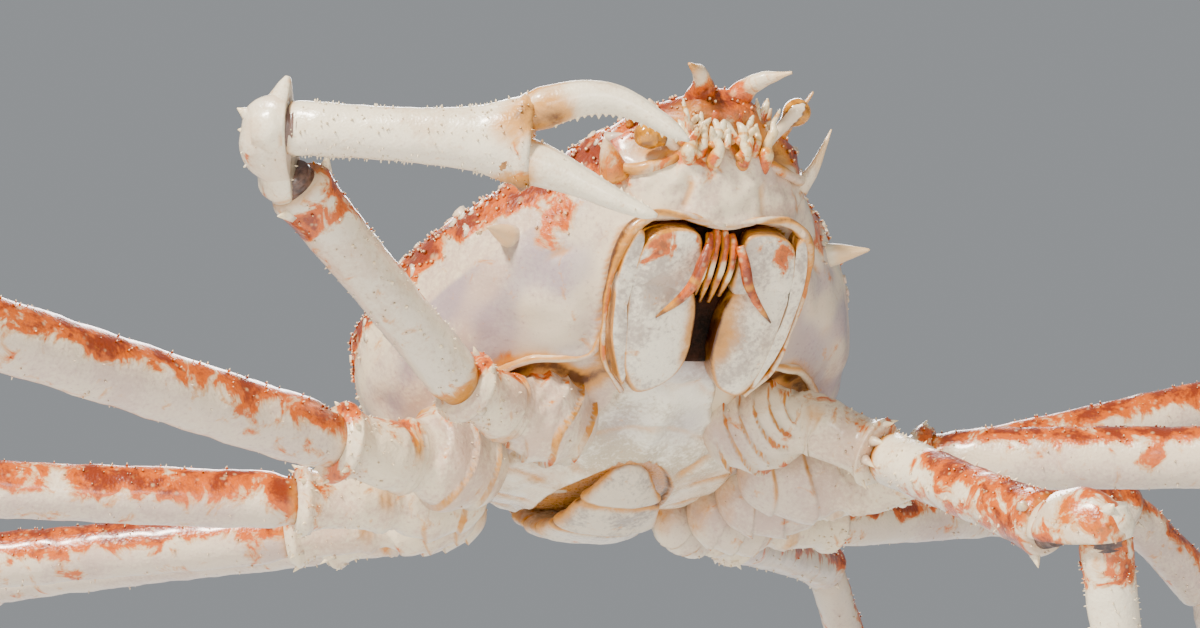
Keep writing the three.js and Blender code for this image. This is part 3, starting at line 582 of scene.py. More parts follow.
spine_roots = []
for y, degrees, length, width, lean in PAIRED_SPINES:
    for turn in (degrees, 180 - degrees):
        y_here = y + numbers.uniform(-1, 1)
        spine_roots.append((y_here, turn, length * numbers.uniform(0.9, 1.1), width, lean))
spine_roots += [(y, 90, length, width, SMALL_LEAN) for y, length, width in MIDDLE_SPINES]
for _ in range(SMALL_SPINES):
    length = numbers.uniform(2.2, 5.0)
    y, degrees = numbers.uniform(-100, 88), numbers.uniform(-4, 184)
    spine_roots.append((y, degrees, length, 1.2 + length * 0.22, SMALL_LEAN))

relief = (lumps(hull, 17, 1.1) + lumps(hull, 6, 0.35, 2)) * (0.35 + 0.65 * fade(-0.1, 0.3, lift))
# soft pillows of the cheeks below the margin
relief += lumps(hull, 13, 1.7, 4) * fade(0.05, -0.3, lift)
# small bumps of the plate between the feelers and the mouth
face_plate = np.exp(-((hull[..., 1] + 98) / 14) ** 2 - ((hull[..., 2] + 15) / 10) ** 2)
relief += lumps(hull, 5, 1.5, 12) * face_plate
relief -= furrow * 2.4 + face * 1.3 + orbit * 5.5 + skin_line * 2.2
relief += rim_line * 1.6
spines = []
for y, degrees, length, width, lean in spine_roots:
    turn = math.radians(degrees)
    root = shell_surface(y, turn)
    gap = np.linalg.norm(hull - root, axis=-1)
    # every spine stands on a low swelling
    relief += 0.42 * width * near(gap, 0, width * 1.25)
    aim = unit(shell_normal(y, turn) + np.array([0, -1, 0]) * lean)
    spines.append((on_body(root - aim * 1.2), turn_body(aim), length + 1.2, width * 0.8))
hull = hull + out * relief[..., None]

on_field = (hull - MOUTH_MIDDLE) @ MOUTH_AXES.T
deep = inside(on_field, mouth_ring)
under_side = lift < -0.2
sunk = np.where(under_side, fade(0.5, 3.5, deep), 0) * np.clip(on_field[..., 2] + MOUTH_DEPTH, 0, None)
hull = hull - MOUTH_AXES[2] * sunk[..., None]
rim_gap = np.where(under_side, np.abs(deep + 1.0), 99)
hull = hull + MOUTH_AXES[2] * (1.6 * near(rim_gap, 0, 1.8))[..., None]
clouds = fade(0.0, 0.6, lumps(hull, 15, 1.0, 9) + 0.25)
snout = patch([8, 109, 3], [12, 9, 9])
cheek = patch([50.5, 69, 7], [9, 10, 9])
brow = patch([36, 91, 3], [8, 9, 9])
above = fade(-6, 6, hull[..., 2]) * 0.96 - near(hull[..., 2], 1, 5) * 0.25
# The mouth's rim is banded in its own darker colour; inside the recess the shell is painted dark as shade.
mouth_rim_and_recess_shade = 0.45 * near(rim_gap, 0, 1.1) + (sunk > 1) * 0.9
folded = skin_line * 0.7 + skin_line ** 9 * 0.4 + rim_line * 0.15
# The crease mark paints shade into the back's furrows, the face's furrows and the orbits; on the snout and
# the folded soft skin it is their own colour.
carapace = loft(
    on_body(hull),
    blotch=np.clip(above + cheek * 0.9 + brow * 0.6 + snout * 0.7, 0, 1),
    crease=np.clip(furrow * 0.35 + face * 0.4 + snout * 0.45 + orbit * 0.85 + folded + mouth_rim_and_recess_shade, 0, 1),
    prickle=fade(-2, 6, hull[..., 2]) + cheek * 0.6,
    lilac=np.where(under_side, fade(24, 50, np.abs(hull[..., 0])), 0) * (0.15 + 0.5 * clouds),
)
carapace.spines = spines


def tube(path, across, sides=24, start=None, end=None, uneven=0.0, seed=0, shear=12, relief=None, **marks):
    """A closed tube along rows of x, y, z, half width and half height, in world millimetres.

    Its ends may be cut to planes of those normals. A mark is a number, or a function of the share
    of the length and the angle round.
    """
    path = np.asarray(path, float)
    at, wide, high = path[:, :3], path[:, 3:4], path[:, 4:5]
    along = np.empty_like(at)
    along[1:-1] = at[2:] - at[:-2]
    along[0], along[-1] = at[1] - at[0], at[-1] - at[-2]
    along = unit(along)
    up = unit(np.cross(along, across))
    side = unit(np.cross(up, along))
    travelled = np.concatenate([[0], np.cumsum(np.linalg.norm(np.diff(at, axis=0), axis=1))])
    share_at = (travelled / travelled[-1])[:, None]
    turn = (np.arange(sides) * 2 * math.pi / sides)[None, :]
    cos, sin = np.cos(turn)[..., None], np.sin(turn)[..., None]
    outward = unit(side[:, None] * cos * high[:, None] + up[:, None] * sin * wide[:, None])
    sections = at[:, None] + side[:, None] * wide[:, None] * cos + up[:, None] * high[:, None] * sin
    for normal, anchor, where in ((start, 0, 0), (end, -1, travelled[-1])):
        if normal is None:
            continue
        weight = np.clip(1 - np.abs(travelled - where) / shear, 0, 1)[:, None]
        lift = ((at[:, None] - sections) @ unit(normal)) / (along @ unit(normal))[:, None]
        sections = sections + along[:, None] * (lift * weight)[..., None]
    grow = np.zeros(sections.shape[:2])
    if relief is not None:
        grow = grow + relief(share_at, turn)
    if uneven:
        ends = fade(0, 0.03, share_at) * fade(0, 0.03, 1 - share_at)
        grow = grow + (lumps(sections, 9, uneven, seed) + lumps(sections, 3.5, uneven * 0.4, seed)) * ends
    sections = sections + outward * grow[..., None]
    spread = {}
    for mark, value in marks.items():
        spread[mark] = value(share_at, turn) if callable(value) else value
    return loft(sections, **spread)


def through(rows, step=1.5):
    """Rows at an even, fine spacing along a smooth path through the given rows."""
    rows = np.asarray(rows, float)
    way = np.concatenate([[0], np.cumsum(np.linalg.norm(np.diff(rows[:, :3], axis=0), axis=1))])
    fine = np.linspace(0, way[-1], max(int(way[-1] / step) + 1, 8))
    return smooth_rows(np.column_stack([way, rows]), fine)


def body_path(rows, step):
    """A fine path from rows given in the body's frame: x, y, z, half width, half height."""
    rows = np.asarray(rows, float)
    return through(np.column_stack([on_body(rows[:, :3]), rows[:, 3:]]), step)


def body_tube(rows, step, sides, **more):
    """A tube along rows in the body's frame, with its width from side to side of the body."""
    return tube(body_path(rows, step), LEFTWARDS, sides, **more)


LEFTWARDS = np.array([1.0, 0, 0])
SIDES = ((-1, "right"), (1, "left"))
# The beak: two stout horns side by side, orange at the root and olive or cream at the tip.
HORN_ROWS = [
    (5, -100, 9, 7.6, 6.6), (6, -107, 11, 6.6, 6.0), (7, -115, 11.5, 4.8, 4.6),
    (9.2, -120.5, 11.2, 3.5, 3.4), (12.6, -126, 10, 2.4, 2.3), (19.3, -132, 7.5, 0.5, 0.5),
]
# the ridge of skin round the mouth, in the mouth's plane
MOUTH_RIDGE = [
    (0, 29.6), (14, 32.4), (26, 31), (33.5, 24), (36.8, 8), (35.8, -8), (32.5, -24), (23.5, -35.5),
]
for side, which in SIDES:
    left = side > 0
    carapace += body_tube(
        [(side * x, *rest) for x, *rest in HORN_ROWS], 0.8, 26, uneven=0.7, seed=side,
        blotch=lambda s, a: 0.85 * fade(0.8, 0.45, s),
        tip=lambda s, a: fade(0.6, 0.95, s) * (0.8 if left else 0.35),
        crease=lambda s, a: 0.4 * near(s, 0.62, 0.12) * (0.5 + 0.5 * np.sin(a + 1))
        + (0.1 if left else 0.6) * fade(0.7, 1.0, s),
    )
    # spines over the orbit, in front of it and behind it, each a run of x, y, z, its root radius and
    # how pale its tip is; the right one behind the orbit is worn short
    behind = (44.5, -107, 6.5) if left else (41.5, -101.5, 0)
    over = (38, -113.5, 18) if left else (34, -108, 13)
    for line, radius, pale in (
        ([(20, -101, 11), (21.5, -104, 12.6), (23.4, -107, 14.6)], 3.2, 0.2),
        ([(29, -99, 9), (32.5, -106, 12), over], 1.3, 0.0),
        ([(35, -90, -7), (39, -97, -3.5), behind], 2.9 if left else 4.4, 1.0 if left else 0.3),
        ([(58, -52, -5), (66, -58, -7.5), (74, -63, -9.5)], 4.4, 1.0),
    ):
        sizes = (radius * 1.25, radius * 0.75, 0.3)
        carapace += body_tube(
            [(side * x, y, z, size, size) for (x, y, z), size in zip(line, sizes)],
            0.9, 14, uneven=0.3, seed=side + 3,
            blotch=lambda s, a: 0.6 * fade(0.9, 0.2, s) * (1.3 - pale),
            tip=lambda s, a: pale * fade(0.1, 0.6, s),
            crease=lambda s, a: 0.35 * (1 - pale) + 0.2 * fade(0.3, 0.0, s),
        )
    # the thick lower rim of the orbit
    rows = [(13, -101, -7, 0.8), *[(*place, 1.9) for place in ORBIT_RIM], (36, -88, 5, 0.8)]
    carapace += body_tube(
        [(side * x, y, z, size, size) for x, y, z, size in rows], 1.0, 12, uneven=0.5, seed=side + 5,
        blotch=0.25, crease=lambda s, a: 0.42 + 0.25 * np.sin(9 * s + a),
    )
    rows = []
    for u, v in MOUTH_RIDGE:
        swell = 1.0 + 1.5 * fade(3, 22, v) * fade(20, 33, u)
        rise = 1.8 * fade(24, 12, u) * (v > 0)
        rows.append((*on_mouth((side * u, v, rise - 3.4)), 1.05 * swell, 1.3 * swell))
    carapace += body_tube(
        rows, 1.2, 16, uneven=0.5, seed=side + 8, blotch=lambda s, a: 0.2 + 0.6 * near(s, 0.5, 0.2),
        crease=lambda s, a: 0.16 + 0.3 * near(s, 0.42, 0.16)
        + 0.6 * np.abs(np.cos(a)) ** 3 * fade(0, 0.2, s),
    )
    # the folded rim of the shell over the limbs, with soft olive skin under it
    carapace += body_tube(
        [(side * x, y, z, 1.6, 1.6) for x, y, z in SIDE_RIM], 1.6, 12, uneven=0.5, seed=side + 11,
        blotch=0.1, crease=lambda s, a: 0.12 + 0.5 * np.abs(np.cos(a)) ** 4,
    )
# low bumps of the beak's root between the horns
for x, y, z, size in (
    (0, -112.5, 6, 4.2), (-4.5, -113.5, 2.5, 3.0), (4.5, -113.5, 2.5, 3.0), (0, -110, -2, 3.0),
    (0, -106, 15, 4.0),
):
    rows = [(x, y + size, z, size * 0.7, size * 0.7), (x, y, z, size, size), (x, y - size, z - 1, 0.6, 0.6)]
    carapace += body_tube(rows, 0.8, 14, uneven=0.4, blotch=0.6, crease=0.1)

shell_paint = shell_finish(
    "rusty_shell", paint(230, 212, 180), paint(206, 178, 156), 13, 2.2, 0.5, 0.42,
    tip=paint(238, 200, 150), cover=-0.05, calm=0.16,
)
piece(
    "shell", carapace, shell_paint, "carapace_shell", "carapace",
    prickles=52000, height=1.1, radius=0.8, blunt=0.25, seed=3,
)

# The mouth frame.
# Behind the jaw legs a near-black sheet lines the shell's recess as painted shade, which shows as a
# black slit between them. It grows fast to the recess.
# distance up the mouth's plane, depth behind it, half width
THROAT_ROWS = [(27, -7.5, 22), (15, -7.5, 27), (0, -8, 26), (-14, -8, 20), (-24, -7, 8)]
THROAT_THICK = 2.2
rows = [(*on_mouth((0, up, depth)), half, THROAT_THICK) for up, depth, half in THROAT_ROWS]
throat = body_tube(rows, 1.5, 30, uneven=0.8)
mouth_shade_paint = shell_finish(
    "mouth_shade", paint(44, 20, 6), paint(16, 8, 3), 6, 0.9, 0.15, 0.8, cover=-0.6,
    crease_color=paint(16, 8, 3), soil=0.0, wet=0.0,
)
piece("inner_mouth", throat, mouth_shade_paint, "jaw_legs")

# The outer jaw legs.
# Two pairs of flat white plates close the mouth like doors, with a slim outer branch beside each and a
# jointed orange palp folded down over it. Each hinges on the shell at its lower corner.
LOWER_PLATE = [
    (4.2, -1), (3.4, -8), (3.2, -18), (5.6, -26), (12, -32), (20, -34.2), (25, -27.5), (28, -15),
    (29.6, -3), (29.6, 6.4), (23, 7.8), (13, 6.6), (6.6, 4.6),
]
UPPER_PLATE = [
    (7.6, 5.2), (16, 5.6), (24, 6.6), (29.6, 5.6), (30, 14), (27.4, 23.5), (20.5, 27.6), (12, 27.6),
    (7.6, 24.4), (6.6, 15),
]
OUTER_BRANCH = [
    (25, -32), (28.4, -25.5), (32.6, -14), (34.4, -2), (35.2, 9), (34.2, 19), (31.4, 26.6), (28.6, 24),
    (30.6, 14), (30.4, 2), (28.4, -12), (24.6, -26),
]
PALP = [
    (5.6, 24, 2.4, 1.5), (8, 18, 4.8, 2.0), (10, 12, 6.4, 1.9), (12.6, 7, 6.6, 1.6), (15.2, 3, 5.8, 1.25),
    (17.6, -0.4, 4.6, 0.9), (20, -3.8, 3.4, 0.3),
]
# the orange bars of the inner jaws beside the slit: distance out from it, top, foot, depth, thickness
INNER_BARS = [(1.7, 26.5, 0, -1.2, 1.5), (4.6, 25.5, 3, -0.2, 1.5)]


def smooth_ring(outline, count):
    """A closed smooth ring through the outline's corners."""
    outline = np.asarray(outline, float)
    around = np.concatenate([outline[-2:], outline, outline[:3]])
    way = np.arange(len(around)) - 2.0
    return smooth_rows(np.column_stack([way, around]), np.arange(count) * len(outline) / count)


def slab(outline, inner, rim, dome, count=80, round_off=1.3, uneven=0.3, seed=0, rim_darkening=0.7, **marks):
    """A domed plate with a rounded edge in the mouth's plane, as a skin in world millimetres."""
    ring = smooth_ring(outline, count)
    middle = ring.mean(0)
    levels = [(1.0, inner), (1.0, rim - round_off)]
    for t in (0.5, 1.1, 1.57):
        levels.append((1 - 0.06 * (1 - math.cos(t)), rim - round_off * (1 - math.sin(t))))
    for k in (0.9, 0.84, 0.76, 0.66, 0.54, 0.41, 0.28, 0.14, 0.04):
        levels.append((k, rim + dome * (1 - (k / 0.94) ** 2.2)))
    sections = []
    for size, out_by in levels:
        flat = middle + (ring - middle) * size
        sections.append(on_mouth(np.column_stack([flat, np.full(count, out_by)])))
    sections = np.array(sections)
    rise = lumps(sections, 6, uneven, seed) * (np.arange(len(levels)) > 3)[:, None]
    sections = sections + MOUTH_AXES[2] * rise[..., None]
    size = np.array([level[0] for level in levels])[:, None]
    u, v, _ = np.moveaxis((sections - MOUTH_MIDDLE) @ MOUTH_AXES.T, -1, 0)
    # each plate's rim is painted darker by the given amount
    # the two plates lie so close together that their joint hardly shows
    edge = fade(0.9, 0.995, size) * rim_darkening * (1 - 0.85 * near(v, 6, 3.5))
    spread = {mark: value(np.abs(u), v) for mark, value in marks.items()}
    spread["crease"] = np.clip(edge + spread.get("crease", 0), 0, 1)
    return loft(on_body(sections), **spread)


def spot(u, v, reach):
    """A round mark in the mouth's plane, fading out at that reach."""
    return lambda across, up: np.exp(-((across - u) ** 2 + (up - v) ** 2) / reach**2)


stain, corner, foot = spot(22.5, 23.5, 7.5), spot(7, 25, 5), spot(23, -31, 5)
jaw_paint = shell_finish(
    "jaw_leg_shell", CHALK, paint(186, 170, 154), 9, 1.4, 0.2, 0.3, cover=-0.1, soil=0.4
)
# how much further from the middle each point of the left palp lies, which hangs a little loose
PALP_SPLAY = (1, 1, 1, 1.05, 1.1, 1.14, 1.18)
for side, which in SIDES:
    left = side > 0
    # the left jaw leg stands a little further open, and shows more of its golden inner edge
    golden = 9.5 if left else 4.5

    def flip(outline, ajar=0.0):
        return [(side * (u + ajar * (left and u < 8)), v) for u, v in outline]

    jaw = slab(
        flip(LOWER_PLATE, 2.2), -8, 0.6, 2.6, seed=side, rim_darkening=0.45,
        crease=lambda u, v: 0.3 * foot(u, v) + 0.66 * near(u, 3.5, golden) * fade(-34, -12, v),
    )
    jaw += slab(
        flip(UPPER_PLATE, 0.8), -8, 0.5, 1.8, seed=side + 2, rim_darkening=0.55,
        blotch=lambda u, v: 0.95 * stain(u, v) + 0.7 * corner(u, v),
        crease=lambda u, v: 0.3 * near(u, 7, 3) + 0.2 * stain(u, v),
    )
    jaw += slab(flip(OUTER_BRANCH), -8, -0.2, 0.8, seed=side + 4, rim_darkening=0.6, round_off=0.9)
    rows = [
        (*on_mouth((side * u * (splay if left else 1), v, out_by)), size, size)
        for (u, v, out_by, size), splay in zip(PALP, PALP_SPLAY)
    ]
    # The palp is paler on one face a little below its top, a painted highlight; its dark end and joint band
    # are its own colour.
    jaw += body_tube(
        rows, 0.8, 18, uneven=0.3, seed=side + 6, blotch=1.05,
        crease=lambda s, a: 0.12 + 0.85 * fade(0.6, 0.97, s) + 0.4 * near(s, 0.42, 0.03),
        tip=lambda s, a: 0.6 * near(s, 0.28, 0.1) * np.clip(-np.sin(a), 0, 1),
    )
    for u, top, bottom, out_by, size in INNER_BARS:
        rows = [
            (*on_mouth((side * u * wider, v, out_by + further)), size * thick, size * thick * 1.2)
            for wider, v, further, thick in (
                (0.9, top, -3, 1), (1, top - 3, 0, 1.1), (1.1, (top + bottom) / 2, 0.6, 0.9),
                (1, bottom, -3, 0.6),
            )
        ]
        # Each bar has a painted highlight down its face and painted shade on both flanks, and darkens
        # towards its foot.
        jaw += body_tube(
            rows, 0.8, 14, uneven=0.4, seed=u, blotch=lambda s, a: 1.0 + 0.1 * np.sin(9 * s + u),
            crease=lambda s, a: 0.05 + 0.6 * np.abs(np.cos(a)) ** 3 + 0.8 * fade(0.5, 1.0, s),
            tip=lambda s, a: 0.9 * near(s, 0.42 + 0.04 * u, 0.16) * (np.abs(np.sin(a)) > 0.75),
        )
    piece(f"jaw_leg_{which}", jaw, jaw_paint, "jaw_legs", f"jaw_leg_{which}")

# The eyes.
# Glossy golden brown balls on short stalks that turn in the orbits.
EYE_GOLD = paint(216, 142, 12)
EYE_BROWN = paint(150, 92, 10)
EYE_RING = paint(40, 26, 14)
EYE_STALK = paint(226, 204, 172)
eye_glaze, glaze, place = blank_material("eye_glaze")
facets = glaze.node("ShaderNodeTexVoronoi", None, {"Vector": place, "Scale": 2600})
sockets = {"Vector": place, "Scale": 260, "Detail": 2, "Distortion": 0.6}
streaks = glaze.node("ShaderNodeTexNoise", None, sockets)
ball_share = glaze.attribute("tip")
eye_color = glaze.mix(streaks.fade(0.35, 0.7), EYE_GOLD, EYE_BROWN)
eye_color = eye_color.tint(glaze.attribute("crease"), EYE_RING)
eye_color = eye_color.tint(1 - ball_share.fade(0.2, 0.6), EYE_STALK)
glaze.surface(
    Base_Color=eye_color, Roughness=0.34 - ball_share * 0.24,
    Normal=glaze.node("ShaderNodeBump", None, {"Strength": 0.1, "Distance": 0.0003, "Height": facets}),
    Coat_Weight=0.8, Coat_Roughness=0.06,
)
# root, neck and middle of the ball of each: the left eye is raised and the right one lowered
EYES = {
    "right": ((13, -101, -5.5), (20.5, -107, -4.8), (28.4, -107.5, -3.6)),
    "left": ((13, -101, -4.5), (20, -109, 0.2), (28.2, -114, 6.6)),
}
# the stalk's half width at its root, half way and at the neck
STALK = (3.2, 2.5, 2.1)
# along the ball from its middle, and its half width there
BALL_ROWS = [
    (-6.4, 2.3), (-4.4, 3.1), (-2.2, 4.4), (0, 4.8), (2.2, 4.35), (3.8, 3.1), (4.6, 1.5), (4.8, 0.3),
]
BALL_RADIUS = 4.8
# from where the clear skin of the ball begins to its far end
CLEAR_LENGTH = 10.2
# a tongue of the cream stalk lies over each ball: how far on, how narrow and at what angle
TONGUES = {"right": (0.24, 16, 1.2), "left": (0.34, 5, 2.1)}
for side, which in SIDES:
    root, neck, ball = (np.array([side * x, y, z]) for x, y, z in EYES[which])
    rows = [(*place, size, size) for place, size in zip((root, (root + neck) / 2, neck), STALK)]
    rows += [(*(ball + unit(ball - neck) * at), size, size) for at, size in BALL_ROWS]
    length = np.linalg.norm(neck - root) + np.linalg.norm(ball - neck) + BALL_RADIUS
    # the share of the whole length at which that clear skin begins
    bulb = 1 - CLEAR_LENGTH / length
    reach, narrow, turn = TONGUES[which]

    def cornea(s, a):
        tongue = reach * np.exp(narrow * (np.cos(a - turn) - 1))
        return fade(bulb - 0.08, bulb - 0.01, s - tongue)

    def eye_ring(s, a):
        clear = cornea(s, a)
        return 0.95 * 4 * clear * (1 - clear) + 0.4 * near(s, bulb - 0.2, 0.03)

    eye = tube(body_path(rows, 0.5), turn_body((0, 0, 1)), 32, tip=cornea, crease=eye_ring)
    piece(f"eye_{which}", eye, eye_glaze, "eyes", f"eye_{which}")

# The feelers.
# The stout jointed stalks of the two long feelers, broken short, and the small feelers folded up
# beside them, all cream and fixed in front of the white plate over the mouth.
FEELERS = [
    [(13, -96, -13, 3.4), (14, -104.5, -11.5, 3.1), (14.2, -108.5, -9.6, 2.9), (14.4, -110, -8, 2.1),
     (14.8, -112, -6.2, 2.3), (15.4, -114, -4.4, 1.9), (15.7, -114.8, -3.4, 1.1), (16.6, -116.5, -1.4, 1.0),
     (17.6, -118, 0.6, 0.8), (18.8, -119.5, 2.6, 0.3)],
    [(5.2, -98, -11, 2.9), (5.4, -106, -12.5, 2.7), (5.2, -110.5, -10, 2.6), (4.9, -112.6, -7.4, 1.9),
     (4.7, -113.6, -5.2, 2.1), (4.5, -114.2, -3, 1.6), (4.4, -114.4, -1.2, 1.0), (4.4, -114.3, -0.4, 0.3)],
    [(9.6, -101, -10, 2.6), (9.9, -108.5, -8.5, 2.1), (10.2, -112, -5.2, 1.6), (10.4, -113, -3.6, 1.2),
     (10.6, -113.7, -1.8, 0.9), (10.8, -114, -0.6, 0.3)],
    [(8, -104, -2, 2.6), (8.6, -109.5, -2, 2.2), (9.2, -112.4, -0.4, 1.5), (9.8, -114.2, 2.2, 0.9),
     (10.2, -114.8, 4, 0.3)],
    [(16.5, -101, 1, 2.6), (17.4, -106, 1.6, 2.0), (18.2, -109, 3.2, 0.6)],
]
# the small lobes and hairy scales that crowd round their roots
LOBES = 17
feeler_paint = shell_finish("feeler_shell", paint(240, 224, 186), paint(226, 194, 138), 7, 0.9, 0.08, 0.3)
LOBE_SHAPE = ((-0.3, 1.1), (0, 1.1), (0.4, 0.9), (0.8, 0.65), (1, 0.2))
for side, which in SIDES:
    parts = []
    for i, line in enumerate(FEELERS):
        worn = numbers.uniform(-0.8, 0.8, (len(line), 3)) * (np.arange(len(line)) > 1)[:, None]
        scale = numbers.uniform(0.7, 1.05, len(line))
        rows = [
            (side * x + dx, y + dy, z + dz, size * k, size * k * 0.92)
            for (x, y, z, size), (dx, dy, dz), k in zip(line, worn, scale)
        ]
        parts.append(body_tube(
            rows, 0.6, 20, uneven=0.4, seed=i + side, blotch=lambda s, a: 0.1 + 0.6 * fade(0.65, 0.1, s),
            crease=lambda s, a: 0.5 * near(np.sin(7 * s + i), 0, 0.16) * fade(0.1, 0.3, s)
            + 0.3 * np.abs(np.cos(a)) ** 4,
        ))
    for _ in range(LOBES):
        x, y, z = numbers.uniform((1.5, -112.5, -12), (18, -109, 8))
        y += 0.25 * max(x - 8, 0)
        way = unit(numbers.uniform((-0.7, -0.9, -0.3), (0.8, -0.2, 1)))
        length, radius = numbers.uniform(4, 8), numbers.uniform(1.0, 1.9)
        rows = []
        for at, size in LOBE_SHAPE:
            spot_x, spot_y, spot_z = np.array([x, y, z]) + way * length * at
            rows.append((side * spot_x, spot_y, spot_z + 2 * at * at, radius * size, radius * size * 0.8))
        parts.append(body_tube(
            rows, 0.5, 14, uneven=0.35, seed=length, blotch=lambda s, a: 0.5 * fade(0.7, 0.2, s),
            crease=lambda s, a: 0.35 * np.abs(np.cos(a)) ** 3 + 0.3 * fade(0.3, 0.0, s),
        ))
    piece(f"feelers_{which}", joined(parts), feeler_paint, "feelers", f"feelers_{which}")

# The breastplate.
# A smooth white plate of fused segments, hollowed at the back where the folded tail lies. Its seams run
# in from between the limbs, and it is joined to the shell round the limbs' sockets.
STERNUM_ROWS = [
    (-46, 5), (-36, 13), (-25, 20), (-9, 25), (3, 38), (14, 48), (28, 53), (44, 54), (58, 50), (70, 43),
    (80, 32), (87, 18),
]
STERNUM_PROUD = 3.0
LEAST_PROUD = 1.2
STERNUM_BACK = 9
# half width of the hollow for the tail at each distance back
HOLLOW_ROWS = [(13, 0.1), (14.5, 6.5), (18, 11.5), (24, 16), (31, 19.8), (40, 22.5), (60, 24), (88, 22)]
SEAMS = [
    [(50, 10), (38, 8), (27, 13), (21, 22)], [(54, 33), (42, 29), (31, 33)], [(54, 55), (42, 51), (31, 53)],
    [(44, 72), (36, 68), (30, 70)], [(30, -2), (22, 2), (12, -2), (0, -6)],
    [(22, -22), (14, -24), (8, -30), (0, -27)],
]
across_share = np.linspace(-1, 1, 121)
along_y = np.concatenate([np.linspace(-47, 0, 44), np.linspace(1.2, 88, 76)])
plate_x = across_share * smooth_rows(STERNUM_ROWS, along_y)
plate_y = np.broadcast_to(along_y[:, None], plate_x.shape)
# the underside of the shell, which the plate stands proud of
shell_rows = smooth_rows(SHELL_ROWS, (plate_y - FRONT_Y) / CARAPACE_LENGTH)
shell_half, _, shell_under = np.moveaxis(shell_rows, -1, 0)
reach = np.clip(1 - (np.abs(plate_x) / shell_half) ** (2 / 0.9), 0, 1)
flat = MARGIN_Z - (MARGIN_Z - shell_under) * reach ** (0.85 / 2)
level = np.stack([plate_x, plate_y], -1)
seam = np.clip(along_lines(level, SEAMS, 2.2), 0, 1)
inwards = smooth_rows(HOLLOW_ROWS, plate_y)[..., 0] - np.abs(plate_x)
in_hollow = fade(-1.2, 1.6, inwards) * (plate_y > 12)
hollow_edge = near(inwards, 0, 2.4) * (plate_y > 11)
edge_line = near(inwards, 0.6, 0.9) * (plate_y > 12)
ridge = near(distance_to(level, [(0, 9), (0, -20)]), 0, 5)
dish = np.exp(-(((np.abs(plate_x) - 13) / 9) ** 2) - ((plate_y + 6) / 11) ** 2)
rim_fall = fade(0, 0.2, 1 - np.abs(across_share)) * fade(-47, -36, plate_y) * fade(88, 84, plate_y)
bare = np.stack([plate_x, plate_y, flat], -1)
proud = STERNUM_PROUD + 1.8 * ridge - 2.6 * dish - 1.2 * seam - 3.4 * in_hollow + 1.2 * hollow_edge
proud += lumps(bare, 15, 1.5, 5) + lumps(bare, 5, 0.3, 6)
# the plate is nowhere sunk into the shell that bears it
proud = LEAST_PROUD + np.logaddexp(0, 2 * (proud - LEAST_PROUD)) / 2
lower = np.stack([plate_x, plate_y, flat - proud * rim_fall + 3 * (1 - rim_fall)], -1)
upper = np.stack([plate_x * 0.97, plate_y, flat + STERNUM_BACK], -1)
# The crease mark paints shade into the tail's hollow and along its rim, and also darkens the seams, the
# sides, the front and the rear. The grey-lilac in the dish, in the hollow and towards the front is painted
# shade.
edge_darkening = fade(0.86, 1.0, np.abs(across_share))
stains_and_shade = 0.26 * seam + 0.3 * in_hollow + 0.8 * edge_line + edge_darkening * (0.35 + 0.3 * fade(-8, -30, plate_y))
stains_and_shade += 0.3 * fade(-32, -46, plate_y) + 0.24 * fade(2, 26, plate_y)
shade = 0.4 * dish + 0.8 * in_hollow + 0.6 * fade(-20, -40, plate_y)
breastplate = loft(
    on_body(np.concatenate([lower, upper[:, ::-1]], axis=1)),
    crease=np.concatenate([np.clip(stains_and_shade, 0, 1), np.ones_like(flat)], axis=1),
    lilac=np.concatenate([shade, np.zeros_like(flat)], axis=1),
)
breast_paint = shell_finish(
    "breast_shell", paint(246, 238, 216), paint(196, 178, 148), 12, 1.2, 0.12, 0.24, cover=-0.2,
    crease_color=paint(104, 72, 36), soil=0.3,
)
piece("breastplate", breastplate, breast_paint, "underside_shell", "sternum")

# The tail.
# A narrow plate of seven joints, folded under the breast from the rear of the shell. Its tip lies in the
# breast's hollow, and thin skin joins one ring to the next.
TAIL_ROWS = [
    (19, -47.5, 2.5, 2.0), (21, -48.6, 6.5, 3.0), (24, -49.6, 9, 3.5), (30, -51.0, 12.8, 4.5),
    (36, -51.8, 16.4, 5), (45, -51.3, 18.6, 5.3), (53, -49.5, 20.2, 5.5), (64, -44.5, 20.4, 5.5),
    (71, -39.8, 20.4, 5.5), (80, -31.5, 20.2, 5.5), (86, -24.5, 20, 5.5), (93, -14, 19, 5),
    (97, -6, 18, 4.5), (98, 1, 15, 3.5),
]
TAIL_JOINTS = (0.17, 0.34, 0.5, 0.64, 0.78, 0.9)


def tail_joints(s, shift, reach):
    return sum(near(s, at + shift, reach) for at in TAIL_JOINTS)


tail = body_tube(
    [(0, *row) for row in TAIL_ROWS], 0.9, 56, uneven=0.5,
    relief=lambda s, a: 0.7 * tail_joints(s, -0.025, 0.018) - 1.3 * tail_joints(s, 0, 0.012)
    + 1.1 * np.clip(-np.sin(a), 0, 1) ** 8,
    crease=lambda s, a: np.clip(0.6 * tail_joints(s, 0, 0.014) + 0.5 * np.abs(np.cos(a)) ** 6, 0, 1),
    blotch=lambda s, a: 0.35 * fade(0.5, 0.9, s),
    lilac=0.2,
)
tail_paint = shell_finish(
    "tail_shell", paint(228, 214, 184), paint(168, 154, 134), 8, 1.3, 0.14, 0.36, cover=-0.05
)
piece("tail", tail, tail_paint, "underside_shell", "abdomen")

# The limbs' bases.
# A thick ringed hip joint and a short second piece with a toothed collar. Soft folded skin lets them
# turn in the sockets along the breastplate.
GAP = 0.3
LEG_LENGTHS = {"coxa": 38, "ischium": 28, "merus": 225, "carpus": 75, "propodus": 205, "dactyl": 130}
DACTYL_RISE = -82
STEEPEST = -88.0
